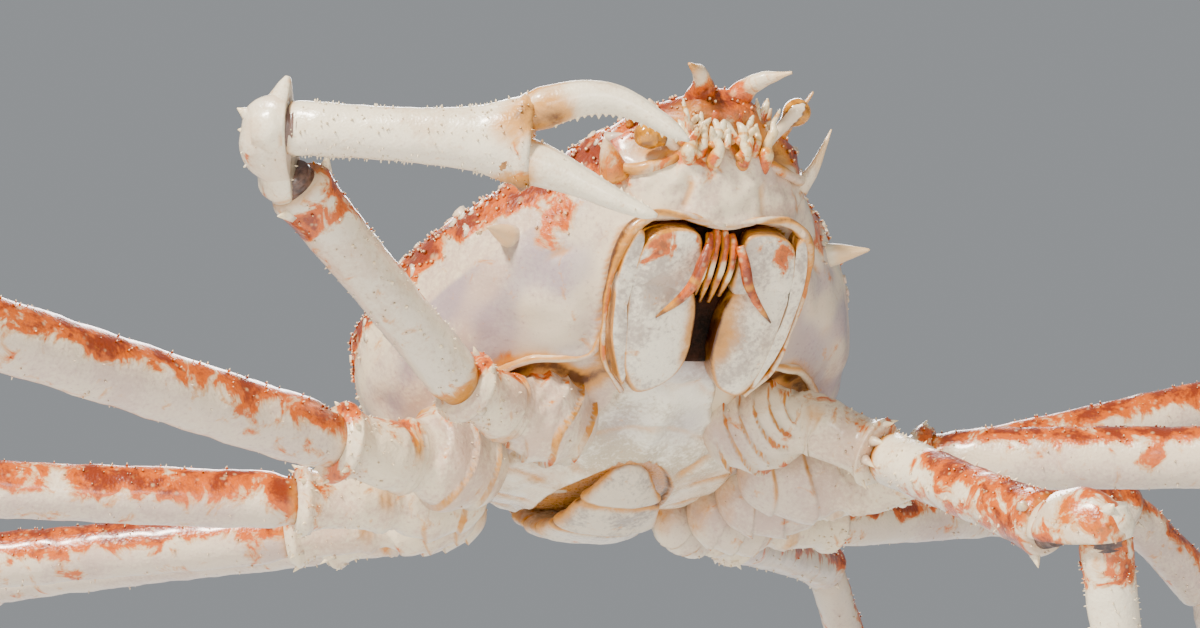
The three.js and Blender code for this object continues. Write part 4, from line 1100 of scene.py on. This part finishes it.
# socket, size, thickness, the hip's half width and height, then yaw and rise of the first three joints
# on the right and on the left
WALKING_LEGS = [
    ((58, 24, -44), 1.0, 11.3, (12.5, 17.5),
     ((21.5, -3), (20, 6.5), (23.5, 8.8)), ((24, -11), (44, 11.6), (35.9, -3.9))),
    ((58, 46, -40), 0.98, 10.0, (11.5, 16.5),
     ((9.8, -9.8), (-3, -2), (-9.8, 2.7)), ((9, 2), (13, 12), (17, 11))),
    ((54, 66, -34), 0.93, 10.2, (10.5, 15),
     ((-14, -9), (-22, -8), (-27, -2)), ((-12, -4), (-18, 4), (-23, 6))),
    ((44, 80, -26), 0.85, 9.4, (9.5, 13),
     ((-38, -8), (-48, -4), (-56, 1)), ((-36, -6), (-46, 0), (-52, 3))),
]
CLAW_LENGTHS = (32, 27, 100, 24, 77, 49)
CLAW_THICK = 10.2
CLAW_SOCKET = (32, -1, -44)
CLAW_HIP = (14.5, 16)
CLAW_POSES = {
    "right": ((28, 1.5), (34.9, 9.5), (33.4, 32.6), (68.8, 32.6), (154.7, -5.2), (160.1, -1.3)),
    "left": ((34.3, -3.7), (28.5, -28.6), (83, -23), (70, -18), (-56, -72), (-58, -70)),
}
BASE_ROWS = [
    (-0.3, 0.12), (-0.27, 0.42), (-0.18, 0.74), (-0.04, 0.92), (0.42, 1.04), (0.62, 0.9), (0.74, 0.72),
]
SECOND_ROWS = [(0.0, 0.98), (0.14, 1.06), (0.6, 0.98), (0.9, 1.14), (1, 1.04)]
COLLAR_LOBES = (20, 65, 95, 122, 170, 215, 262, 308)


def chain(side, socket, lengths, turns):
    """The joints of a limb: yaw turns from the crab's side to its front, rise is above level."""
    joints = [on_body((side * socket[0], socket[1], socket[2]))]
    for length, (yaw, rise) in zip(lengths, turns):
        yaw, rise = math.radians(yaw), math.radians(rise)
        flat = math.cos(rise)
        way = np.array([side * flat * math.cos(yaw), -flat * math.sin(yaw), math.sin(rise)])
        joints.append(joints[-1] + way * length)
    return joints


def hinge(along):
    return unit(np.array([-along[1], along[0], 0]))


def mitre(before, joint, after):
    return unit(unit(joint - before) + unit(after - joint))


def leg_joints(side, leg):
    socket, size, _, _, right, left = leg
    lengths = [length * size for length in LEG_LENGTHS.values()]
    turns = list(left if side > 0 else right)
    height = chain(side, socket, lengths[:3], turns)[-1][2]
    low, high = STEEPEST, 0.0
    for _ in range(50):
        rise = (low + high) / 2
        drop = lengths[3] * math.sin(math.radians(rise * 0.5)) + lengths[4] * math.sin(math.radians(rise))
        drop += lengths[5] * math.sin(math.radians(DACTYL_RISE))
        low, high = (low, rise) if height + drop > 0 else (rise, high)
    yaw = turns[2][0]
    turns += [(yaw, rise * 0.5), (yaw, rise), (yaw, DACTYL_RISE)]
    return chain(side, socket, lengths, turns)


def limb_ring(along, degrees, wide, high):
    """The way out of a limb at that angle round it, and the place on its rim from its axis."""
    across = hinge(along)
    up = unit(np.cross(along, across))
    turn = math.radians(degrees)
    outwards = across * math.cos(turn) + up * math.sin(turn)
    return outwards, across * wide * math.cos(turn) + up * high * math.sin(turn)


limbs = []
for side, which in SIDES:
    joints = chain(side, CLAW_SOCKET, CLAW_LENGTHS, CLAW_POSES[which])
    limbs.append((f"claw_{which}", side, joints, CLAW_THICK, CLAW_THICK * 1.05, CLAW_HIP))
    for number, leg in enumerate(WALKING_LEGS, 1):
        thick, hip = leg[2:4]
        joints = leg_joints(side, leg)
        limbs.append((f"leg_{number}_{which}", side, joints, thick * 0.95, thick * 1.04, hip))

base_paint = shell_finish(
    "hip_shell", paint(232, 214, 182), paint(212, 182, 156), 11, 1.5, 0.16, 0.34, cover=-0.04
)
for n, (name, side, joints, wide, high, hip) in enumerate(limbs):
    socket, knee, end, after = joints[:4]
    rows = [(*(socket + (knee - socket) * at), hip[0] * size, hip[1] * size) for at, size in BASE_ROWS]
    rows += [(*(knee + (end - knee) * at), wide * size, high * size) for at, size in SECOND_ROWS]
    claw = name.startswith("claw")

    def folds(s, a):
        """Folds of the hip's soft skin: how far along its own fold each point lies, and where they are."""
        turned = a - (2.4 if claw else 1.3 * n)
        wave = s * (1 + (0.42 if claw else 0.22) * np.cos(turned)) + 0.012 * np.sin(3 * a + n)
        spread = fade(0.06, 0.16, s) * fade(0.56, 0.46, s)
        return (wave * (9 if claw else 6)) % 1.0, spread

    def base_relief(s, a):
        saw, spread = folds(s, a)
        waist = (((s + 0.018 * np.sin(a * 2 + n)) * 30) % 1.0) - 0.5
        knobs = 2.6 * near(s, 0.6, 0.05) * np.exp(3 * (np.cos(a - 4.2) - 1))
        knobs = knobs + 2.2 * near(s, 0.57, 0.05) * np.exp(4 * (np.cos(a - 1.2) - 1))
        rings = waist * 0.7 * fade(0.5, 0.56, s) * fade(0.68, 0.62, s) + 1.2 * near(s, 0.955, 0.022)
        return saw ** 1.8 * spread * (2.4 if claw else 1.7) + rings + knobs

    def fold_lines(s, a):
        saw, spread = folds(s, a)
        return (near(saw, 0, 0.06) + near(saw, 1.0, 0.1)) * spread

    # Darker at the root, where the hip meets the body, is painted shade; the fold lines and the waist are
    # the skin's own colour.
    def base_crease(s, a):
        lines = fold_lines(s, a) * ((0.4 if claw else 0.28) + 0.25 * np.sin(2 * a + 7 * s + n))
        waist = fade(0.55, 0.59, s) * fade(0.66, 0.63, s) * (0.2 + 0.15 * np.sin(3 * a + n))
        return np.clip(lines + waist + 0.3 * fade(0.12, 0.02, s), 0, 1)

    def base_blotch(s, a):
        top = 0.42 * fade(0.1, 0.9, np.sin(a + 0.3 * math.sin(n))) * fade(0.3, 0.6, s)
        edges = fold_lines(s, a) * (0.55 if claw else 0.2)
        return np.clip(top + edges + 0.25 * near(s, 0.97, 0.03), 0, 1)

    # The grey-lilac over the hip's inner part is painted shade.
    base = tube(
        through(rows, 0.7), hinge(knee - socket), 60, end=mitre(knee, end, after), uneven=0.55, seed=n,
        relief=base_relief, crease=base_crease, blotch=base_blotch,
        lilac=lambda s, a: 0.3 * fade(0.62, 0.3, s) * (0.5 + 0.5 * np.sin(2 * a)),
        prickle=lambda s, a: fade(0.66, 0.8, s) + 0.05,
    )
    along = unit(end - knee)
    # the broad lobes of the collar stand out over the next joint
    for degrees in COLLAR_LOBES:
        outwards, place = limb_ring(along, degrees + numbers.uniform(-6, 6), wide * 0.98, high * 0.98)
        aim = unit(along + outwards * 0.75)
        length, width = numbers.uniform(4.6, 6.6), numbers.uniform(1.7, 2.5)
        base.spines.append((end - along * 4.5 + place, aim, length, width))
    piece(
        f"{name}_base", base, base_paint, "claw_shell" if claw else "base_shell", f"{name}_base",
        prickles=38000, height=0.9, radius=0.45, blunt=0.15, seed=n,
    )

# The walking legs.
# Long stiff tubes of shell, each one joint: mottled orange above and whitish below, set with short
# prickles. They hinge on each other through soft dark skin, and end in a horny dark-tipped claw.
DOWNWARDS = np.array([0, 0, -1.0])
MERUS_ROWS = [
    (0, 0.82), (0.015, 0.84), (0.04, 0.97), (0.1, 1), (0.45, 0.97), (0.85, 1.02), (0.94, 1.1),
    (0.975, 1.14), (1, 0.98),
]
CARPUS_ROWS = [(0, 0.8), (0.05, 0.84), (0.16, 0.98), (0.5, 1.0), (0.86, 1.08), (0.94, 1.12), (1, 0.96)]
PROPODUS_ROWS = [
    (0, 0.74), (0.02, 0.78), (0.06, 0.94), (0.3, 0.92), (0.75, 0.76), (0.95, 0.78), (0.985, 0.8), (1, 0.7),
]
DACTYL_ROWS = [(0, 0.6), (0.04, 0.64), (0.1, 0.68), (0.4, 0.56), (0.75, 0.36), (0.93, 0.2), (1, 0.13)]
LEG_PARTS = {
    "merus": MERUS_ROWS, "carpus": CARPUS_ROWS, "propodus": PROPODUS_ROWS, "dactyl": DACTYL_ROWS,
}
# angles of the spines round the end of each of those joints
END_SPINES = ((75, 105, 230, 310), (60, 120), (60, 120), ())


def segment(start, end, wide, high, rows, start_normal, end_normal, cut, sides=44, step=1.7, **marks):
    """One joint of a limb, cut square to the bend at both ends."""
    along = unit(end - start)
    first, last = start + along * GAP / 2, end - along * cut
    count = int(np.linalg.norm(last - first) / step)
    at = np.linspace(0, 1, count)
    size = smooth_rows(rows, at)
    path = np.column_stack([first + (last - first) * at[:, None], wide * size, high * size])
    return tube(path, hinge(along), sides, start=start_normal, end=end_normal, **marks)


def soft_cuff(middle, way, reach, across, sizes, uneven):
    """The ringed dark skin inside a joint of a limb."""
    rows = [(*(middle + way * reach * at), *size) for at, size in zip((-1, 0, 1), sizes)]
    return tube(
        through(rows, 0.6), across, 28, uneven=uneven, seed=seed, relief=lambda s, a: 0.4 * np.sin(s * 40)
    )


leg_paint = shell_finish("leg_shell", paint(232, 212, 182), paint(214, 186, 164), 12, 1.2, 0.16, 0.34)
seed = 40
cuffs = []
for name, side, joints, wide, high, _ in limbs:
    if name.startswith("claw"):
        continue
    for i, (part, rows) in enumerate(LEG_PARTS.items()):
        before, start, end = joints[i + 1:i + 4]
        foot = part == "dactyl"
        seed += 1

        def leg_blotch(s, a):
            top = fade(-0.35, 0.75, np.sin(a + 0.35 * math.sin(seed * 1.7)))
            ends = 0.18 * near(s, 0.98, 0.05) + 0.12 * near(s, 0, 0.05)
            return np.clip(top * (0.6 if foot else 0.78) + ends + 0.02, 0, 1)

        def leg_relief(s, a):
            ring = near(s, 0.965, 0.012) * 0.7 - near(s, 0.93, 0.01) * 0.4
            knuckle = near(s, 0.985, 0.02) * np.exp(5 * (np.abs(np.cos(a)) - 1)) * 1.4
            return (ring + knuckle) * (not foot)

        def leg_crease(s, a):
            return fade(0.8, 0.97, s) if foot else 0.35 * fade(0.975, 1.0, s) + 0.3 * fade(0.03, 0.0, s)

        along = unit(end - start)
        shape = segment(
            start, end, wide, high, rows, mitre(before, start, end),
            DOWNWARDS if foot else mitre(start, end, joints[i + 4]), 0 if foot else GAP / 2,
            uneven=0.5, seed=seed, blotch=leg_blotch, relief=leg_relief, crease=leg_crease,
            prickle=lambda s, a: 0.25 + 0.75 * fade(-0.2, 0.6, np.sin(a)),
            lilac=lambda s, a: 0.22 * fade(0.1, -0.7, np.sin(a)),
        )
        size = rows[-2][1]
        for degrees in END_SPINES[i]:
            outwards, place = limb_ring(along, degrees + numbers.uniform(-8, 8), wide * size, high * size)
            aim = unit(along * 0.8 + outwards)
            shape.spines.append((end - along * 3.5 + place, aim, numbers.uniform(2.4, 3.8), 1.3))
        piece(
            f"{name}_{part}", shape, leg_paint, "leg_shell", f"{name}_{part}",
            prickles=9000 if foot else 30000, height=1.0, radius=0.42, blunt=0.1, seed=seed,
        )
        sizes = [(wide * size, high * size) for size in (0.62, 0.7, 0.55)]
        cuffs.append(soft_cuff(start, along, 3.4, hinge(along), sizes, 0.3))

# The claws.
# Two slim arms of cream shell with a knobbed wrist and long pincers. A row of white teeth runs along each
# finger, and the upper one hinges on the palm.
PALM_ACROSS = {"right": (0.38, 0.9, 0.1), "left": (-0.38, -0.9, -0.2)}
PALM_ROWS = [
    (0, 0.72, 0.78), (0.04, 0.76, 0.82), (0.12, 0.84, 0.8), (0.45, 0.84, 0.8), (0.75, 0.93, 0.96),
    (0.92, 1.05, 1.28), (1, 0.95, 1.35),
]
# distance past the palm, rise from its axis, half width, half height
THUMB_ROWS = [
    (-12, -5, 7.5, 8), (2, -9, 6.5, 7), (14, -13.5, 4.8, 5.2), (26, -19, 3.4, 3.6), (36, -23, 2, 2.2),
    (40, -24, 0.6, 0.6),
]
FINGER_ROWS = [
    (-2, 7, 5, 6), (6, 10, 5.6, 6.2), (16, 12.5, 5, 5.6), (26, 12, 4.2, 4.8), (36, 8, 3.2, 3.6),
    (44, 3, 2.2, 2.6), (49, 0, 0.6, 0.6),
]


def beyond_plane(points, anchor, normal):
    """Points past a plane, pressed back on to it."""
    past = np.clip((points - anchor) @ normal, 0, None)
    return points - past[..., None] * normal


claw_paint = shell_finish(
    "claw_shell", paint(240, 226, 198), paint(224, 202, 170), 10, 1.0, 0.12, 0.32, cover=-0.1
)
# the share of the arm at which its spines stand, then the angle round and the length of each
ARM_SPINE_PLACES = np.linspace(0.12, 0.95, 9)
ARM_SPINES = ((80, 2.6), (200, 2.0), (330, 1.8))
ARM_END_SPINES = (55, 150, 265)
# distance along each cuff of the wrist and along its tooth, half width and half height there
PALM_CUFF = ((11, 8, 8), (5, 9.6, 10), (0.4, 8.4, 8.8))
ARM_CUFF = ((11, 8, 8), (5, 10, 10.4), (0.4, 9.2, 9.6))
WRIST_TOOTH = ((-5, 9, 7), (0, 8.2, 6.2), (4, 6.2, 4.8), (8, 3.6, 3.0), (11.5, 1.1, 0.9))
# half width, half height and half length of the wrist
WRIST_SIZE = (12, 13.5, 18.5)
# angle round the wrist, angle from its arm end, reach and growth of each knob
WRIST_KNOBS = (
    (0.6, 0.9, 0.45, 2.2), (2.2, 1.6, 0.5, 1.8), (3.9, 0.8, 0.4, 1.5), (5.2, 2.0, 0.5, 2.0),
    (1.3, 2.3, 0.4, 1.6),
)
for name, side, joints, wide, high, _ in limbs:
    if not name.startswith("claw"):
        continue
    left = side > 0
    seed += 7
    elbow_end, arm_end, palm_start, palm_end = joints[2:6]
    arm_along = unit(arm_end - elbow_end)
    palm_along = unit(palm_end - palm_start)
    across = unit(PALM_ACROSS["left" if left else "right"])
    up = unit(np.cross(palm_along, across))

    def arm_blotch(s, a):
        gold = 1.3 * near(s, 0.9, 0.07) * (0.9 + 0.1 * np.sin(a + 0.9)) + 0.9 * near(s, 0.02, 0.05)
        top = 0.7 * fade(0.1, 0.8, np.sin(a)) * fade(0.2, 0.5, s)
        return np.clip(gold + top + (0.5 if left else 0.1) * fade(0.1, 0.4, s), 0, 1)

    arm = segment(
        elbow_end, arm_end, wide * 0.92, high * 0.92, MERUS_ROWS, mitre(joints[1], elbow_end, arm_end),
        arm_along, GAP / 2, step=1.2, uneven=0.5, seed=seed, blotch=arm_blotch,
        crease=lambda s, a: 0.3 * fade(0.96, 1.0, s) + 0.6 * fade(0.1, 0.02, s),
        lilac=lambda s, a: 0.2 * fade(0.2, -0.7, np.sin(a)),
        prickle=lambda s, a: 0.5 + 0.5 * fade(-0.2, 0.6, np.sin(a)),
    )
    for at in ARM_SPINE_PLACES:
        for degrees, length in ARM_SPINES:
            degrees_here = degrees + numbers.uniform(-12, 12)
            outwards, place = limb_ring(arm_along, degrees_here, wide * 0.86, wide * 0.86)
            root = elbow_end + (arm_end - elbow_end) * at + place
            arm.spines.append((root, unit(outwards + arm_along * 0.5), length, 1.0))
    for degrees in ARM_END_SPINES:
        outwards, place = limb_ring(arm_along, degrees, wide * 0.95, wide * 0.95)
        arm.spines.append((arm_end - arm_along * 4 + place, unit(outwards + arm_along * 0.9), 6.5, 2.6))
    piece(
        f"{name}_merus", arm, claw_paint, "claw_shell", f"{name}_merus",
        prickles=42000, height=0.8, radius=0.4, blunt=0.2, seed=seed,
    )

    def between_cuts(points):
        """Points kept between the arm's cut end and the palm's."""
        points = beyond_plane(points, arm_end + arm_along * GAP, -arm_along)
        return beyond_plane(points, palm_start - palm_along * GAP, palm_along)

    bend = unit(arm_along - palm_along)
    to_palm = unit(palm_start - arm_end)
    wrist_middle = (arm_end + palm_start) / 2 + bend * 4 + up * 1.5 + to_palm * 2
    wrist_up = unit(np.cross(to_palm, across))
    wrist_side = unit(np.cross(wrist_up, to_palm))
    rise = np.linspace(0.02, math.pi - 0.02, 48)[:, None]
    turn = (np.arange(56) * 2 * math.pi / 56)[None, :]
    half_wide, half_high, half_long = WRIST_SIZE
    ball = (wrist_side * (half_wide * np.cos(turn) * np.sin(rise))[..., None]
            + wrist_up * (half_high * np.sin(turn) * np.sin(rise))[..., None]
            - to_palm * (half_long * np.cos(rise))[..., None])
    knobs = np.zeros(ball.shape[:2])
    for knob_turn, knob_rise, reach, growth in WRIST_KNOBS:
        beside = np.sin(rise) * math.sin(knob_rise) * np.cos(turn - knob_turn)
        gap = np.arccos(np.clip(np.cos(rise) * math.cos(knob_rise) + beside, -1, 1))
        knobs += growth * near(gap, 0, reach)
    points = wrist_middle + ball * (0.93 + 0.055 * knobs)[..., None]
    points = points + unit(ball) * lumps(points, 7, 0.7, seed)[..., None]
    # The wrist is darker between its knobs, painted shade in the dips; the knobs are more orange in their
    # own colour.
    wrist = loft(
        between_cuts(points), blotch=(0.6 if left else 0.12) + 0.1 * knobs,
        crease=np.clip(0.35 - 0.3 * knobs, 0, 1) * 0.6, prickle=0.6, lilac=0.1,
    )
    # its cuffs round the palm and the arm, and the broad tooth over the palm
    tooth_root = palm_start + up * 5 - palm_along * 3
    tooth_aim = unit(up + palm_along * 0.12)
    for middle, way, sizes in (
        (palm_start, -palm_along, PALM_CUFF), (arm_end, arm_along, ARM_CUFF),
        (tooth_root, tooth_aim, WRIST_TOOTH),
    ):
        rows = [(*(middle + way * at), *size) for at, *size in sizes]
        wrist += tube(
            through(rows, 0.8), across, 30, uneven=0.7, seed=seed, blotch=0.15,
            crease=lambda s, a: 0.4 * near(s, 0.9, 0.08) * (0.5 + 0.5 * np.sin(2 * a)),
        )
    wrist.points = between_cuts(wrist.points)
    for share_across in (-0.8, 0.1, 0.9):
        root = wrist_middle + bend * 11 + to_palm * (share_across * 9 - 3)
        wrist.spines.append((root, unit(bend + to_palm * (share_across * 0.6 - 0.4)), 4.2, 2.8))
    piece(
        f"{name}_wrist", wrist, claw_paint, "claw_shell", f"{name}_wrist",
        prickles=30000, height=0.8, radius=0.45, blunt=0.2, seed=seed,
    )

    at = np.linspace(0, 1, 74)[:, None]
    size = smooth_rows(PALM_ROWS, at[:, 0])
    middle = palm_start + (palm_end - palm_start) * at - up * 2 * at

    def palm_relief(s, a):
        ridge = 0.5 * near(np.abs(np.cos(a - 0.5)), 0, 0.12) * fade(0.5, 0.9, s)
        return ridge + 1.6 * near(s, 0.965, 0.02) * np.exp(3 * (np.abs(np.cos(a - 1.57)) - 1))

    def palm_crease(s, a):
        hinge_stain = 0.72 * fade(0.74, 0.96, s) * (0.6 + 0.4 * np.cos(3 * a + 5 * s))
        return np.clip(hinge_stain + 0.3 * fade(0.05, 0, s), 0, 1)

    palm = tube(
        np.column_stack([middle, wide * size[:, :1] * 0.82, high * size[:, 1:]]), across, 56,
        uneven=0.45, seed=seed, relief=palm_relief, crease=palm_crease,
        blotch=lambda s, a: 0.6 * fade(0.8, 1.0, s) * (0.6 + 0.4 * np.sin(a * 2))
        + (0.85 if left else 0) * fade(0.3, 0.1, s),
        lilac=lambda s, a: 0.12 * fade(0.2, -0.8, np.sin(a)),
        prickle=lambda s, a: 0.9 + 1.6 * near(np.abs(np.cos(a)), 0, 0.3) * fade(0.9, 0.8, s),
    )

    def digit(rows):
        """One finger of the pincer, with a groove along its side."""
        steps = np.linspace(rows[0][0], rows[-1][0], 56)
        fine = smooth_rows(rows, steps)
        middle = palm_end + palm_along * steps[:, None] + up * fine[:, :1]

        def groove(a):
            return near(np.cos(a - 0.45), 0, 0.1)

        return tube(
            np.column_stack([middle, fine[:, 1:]]), across, 36, uneven=0.25, seed=seed + len(rows),
            relief=lambda s, a: 0.5 * near(s, 0.1, 0.05)
            - 0.5 * groove(a) * fade(0.15, 0.3, s) * fade(0.95, 0.8, s),
            crease=lambda s, a: 0.72 * fade(0.4, 0.1, s) * (0.75 + 0.25 * np.sin(2 * a)) + 0.06
            + 0.25 * groove(a) * fade(0.7, 0.4, s),
            blotch=lambda s, a: 0.45 * fade(0.35, 0.05, s),
            tip=lambda s, a: 0.3 * fade(0.9, 1.0, s), prickle=0.1,
        )

    def teeth(skin, rows, way, count):
        shares = np.linspace(rows[1][0] + 1, rows[-2][0] + 1, count)
        for i, (share, (rise, _, high)) in enumerate(zip(shares, smooth_rows(rows, shares))):
            root = palm_end + palm_along * share + up * (rise + way * high * 0.86)
            length = (0.9 if i % 3 else 1.5) * (0.55 + high / 9)
            skin.spines.append((root, up * way, length + 0.5, 1.3 * (0.6 + high / 12)))

    palm += digit(THUMB_ROWS)
    teeth(palm, THUMB_ROWS, 1, 17)
    piece(
        f"{name}_palm", palm, claw_paint, "claw_shell", f"{name}_palm",
        prickles=70000, height=0.85, radius=0.36, blunt=0.15, seed=seed,
    )
    finger = digit(FINGER_ROWS)
    teeth(finger, FINGER_ROWS, -1, 18)
    piece(
        f"{name}_finger", finger, claw_paint, "claw_shell", f"{name}_finger",
        prickles=9000, height=0.4, radius=0.3, blunt=0.3, seed=seed,
    )
    sizes = [(wide * 0.6, high * 0.6), (wide * 0.66, high * 0.7), (wide * 0.55, high * 0.55)]
    wrist_way = unit(arm_along + to_palm)
    for anchor, way in ((elbow_end, arm_along), (arm_end, wrist_way), (palm_start, palm_along)):
        level_across = hinge(way) if abs(way[2]) < 0.98 else across
        cuffs.append(soft_cuff(anchor, way, 5, level_across, sizes, 0.4))
membrane_skin = shell_finish(
    "joint_skin", paint(112, 82, 70), paint(58, 42, 42), 5, 0.8, 0.1, 0.34, cover=-0.4, soil=0.1
)
piece("joint_skin", joined(cuffs), membrane_skin, "base_shell")

# The studio.
# A plain pale floor under soft lights, seen from low in front of the crab's right side.
CAMERA_AT = (-0.36234, -0.96669, 0.14283)
CAMERA_HEADING, CAMERA_RISE, CAMERA_ROLL = -22.58, 12.48, -2.39
FOCAL_LENGTH = 83.33
SENSOR_WIDTH = 36
FARTHEST_SEEN = 30
FLOOR_RADIUS = 5
FLOOR_Z = -0.0005
FLOOR_SIDES = 96
FLOOR_PAINT = paint(226, 228, 230)
# name, place, radius, power and colour of each light
LIGHTS = (
    ("key", (-1.5, -1.1, 1.9), 0.2, 430, (1.0, 0.95, 0.86)),
    ("fill", (1.3, -1.9, 0.7), 0.7, 12, (0.92, 0.96, 1.0)),
    ("low", (-0.5, -1.7, 0.45), 0.2, 20, (1.0, 0.96, 0.9)),
    ("back", (0.8, 1.9, 1.6), 0.5, 110, (1.0, 1.0, 1.0)),
)
SKY_COLOR = (0.78, 0.82, 0.86, 1)
SKY_STRENGTH = 0.3
EXPOSURE = 1.12

camera = put_in_scene("camera", bpy.data.cameras.new("camera"))
camera.data.lens = FOCAL_LENGTH
camera.data.sensor_width = SENSOR_WIDTH
camera.data.clip_end = FARTHEST_SEEN
aim = Euler((math.radians(90 + CAMERA_RISE), 0, math.radians(CAMERA_HEADING))).to_matrix()
roll = Euler((0, 0, math.radians(CAMERA_ROLL))).to_matrix()
camera.matrix_world = (aim @ roll).to_4x4()
camera.location = CAMERA_AT
bpy.context.scene.camera = camera

floor_mesh = bpy.data.meshes.new("floor")
turns = np.linspace(0, 2 * math.pi, FLOOR_SIDES + 1)[:-1]
rim = [(FLOOR_RADIUS * math.cos(t), FLOOR_RADIUS * math.sin(t), FLOOR_Z) for t in turns]
floor_mesh.from_pydata(rim, [], [tuple(range(len(rim)))])
floor_paint, plain, place = blank_material("floor_paint")
dust = plain.node("ShaderNodeTexNoise", None, {"Vector": place, "Scale": 3.0})
plain.surface(Base_Color=FLOOR_PAINT, Roughness=dust * 0.1 + 0.7)
floor_mesh.materials.append(floor_paint)
put_in_scene("floor", floor_mesh)

for name, place, radius, power, color in LIGHTS:
    lamp = put_in_scene(name, bpy.data.lights.new(name, "POINT"))
    lamp.data.shadow_soft_size = radius
    lamp.data.energy = power
    lamp.data.color = color
    lamp.location = place
    lamp.visible_camera = False
world = bpy.data.worlds.new("studio")
world.use_nodes = True
sky = world.node_tree.nodes["Background"].inputs
sky["Color"].default_value = SKY_COLOR
sky["Strength"].default_value = SKY_STRENGTH
bpy.context.scene.world = world
bpy.context.scene.view_settings.look = "AgX - Punchy"
bpy.context.scene.view_settings.exposure = EXPOSURE

bpy.context.view_layer.update()
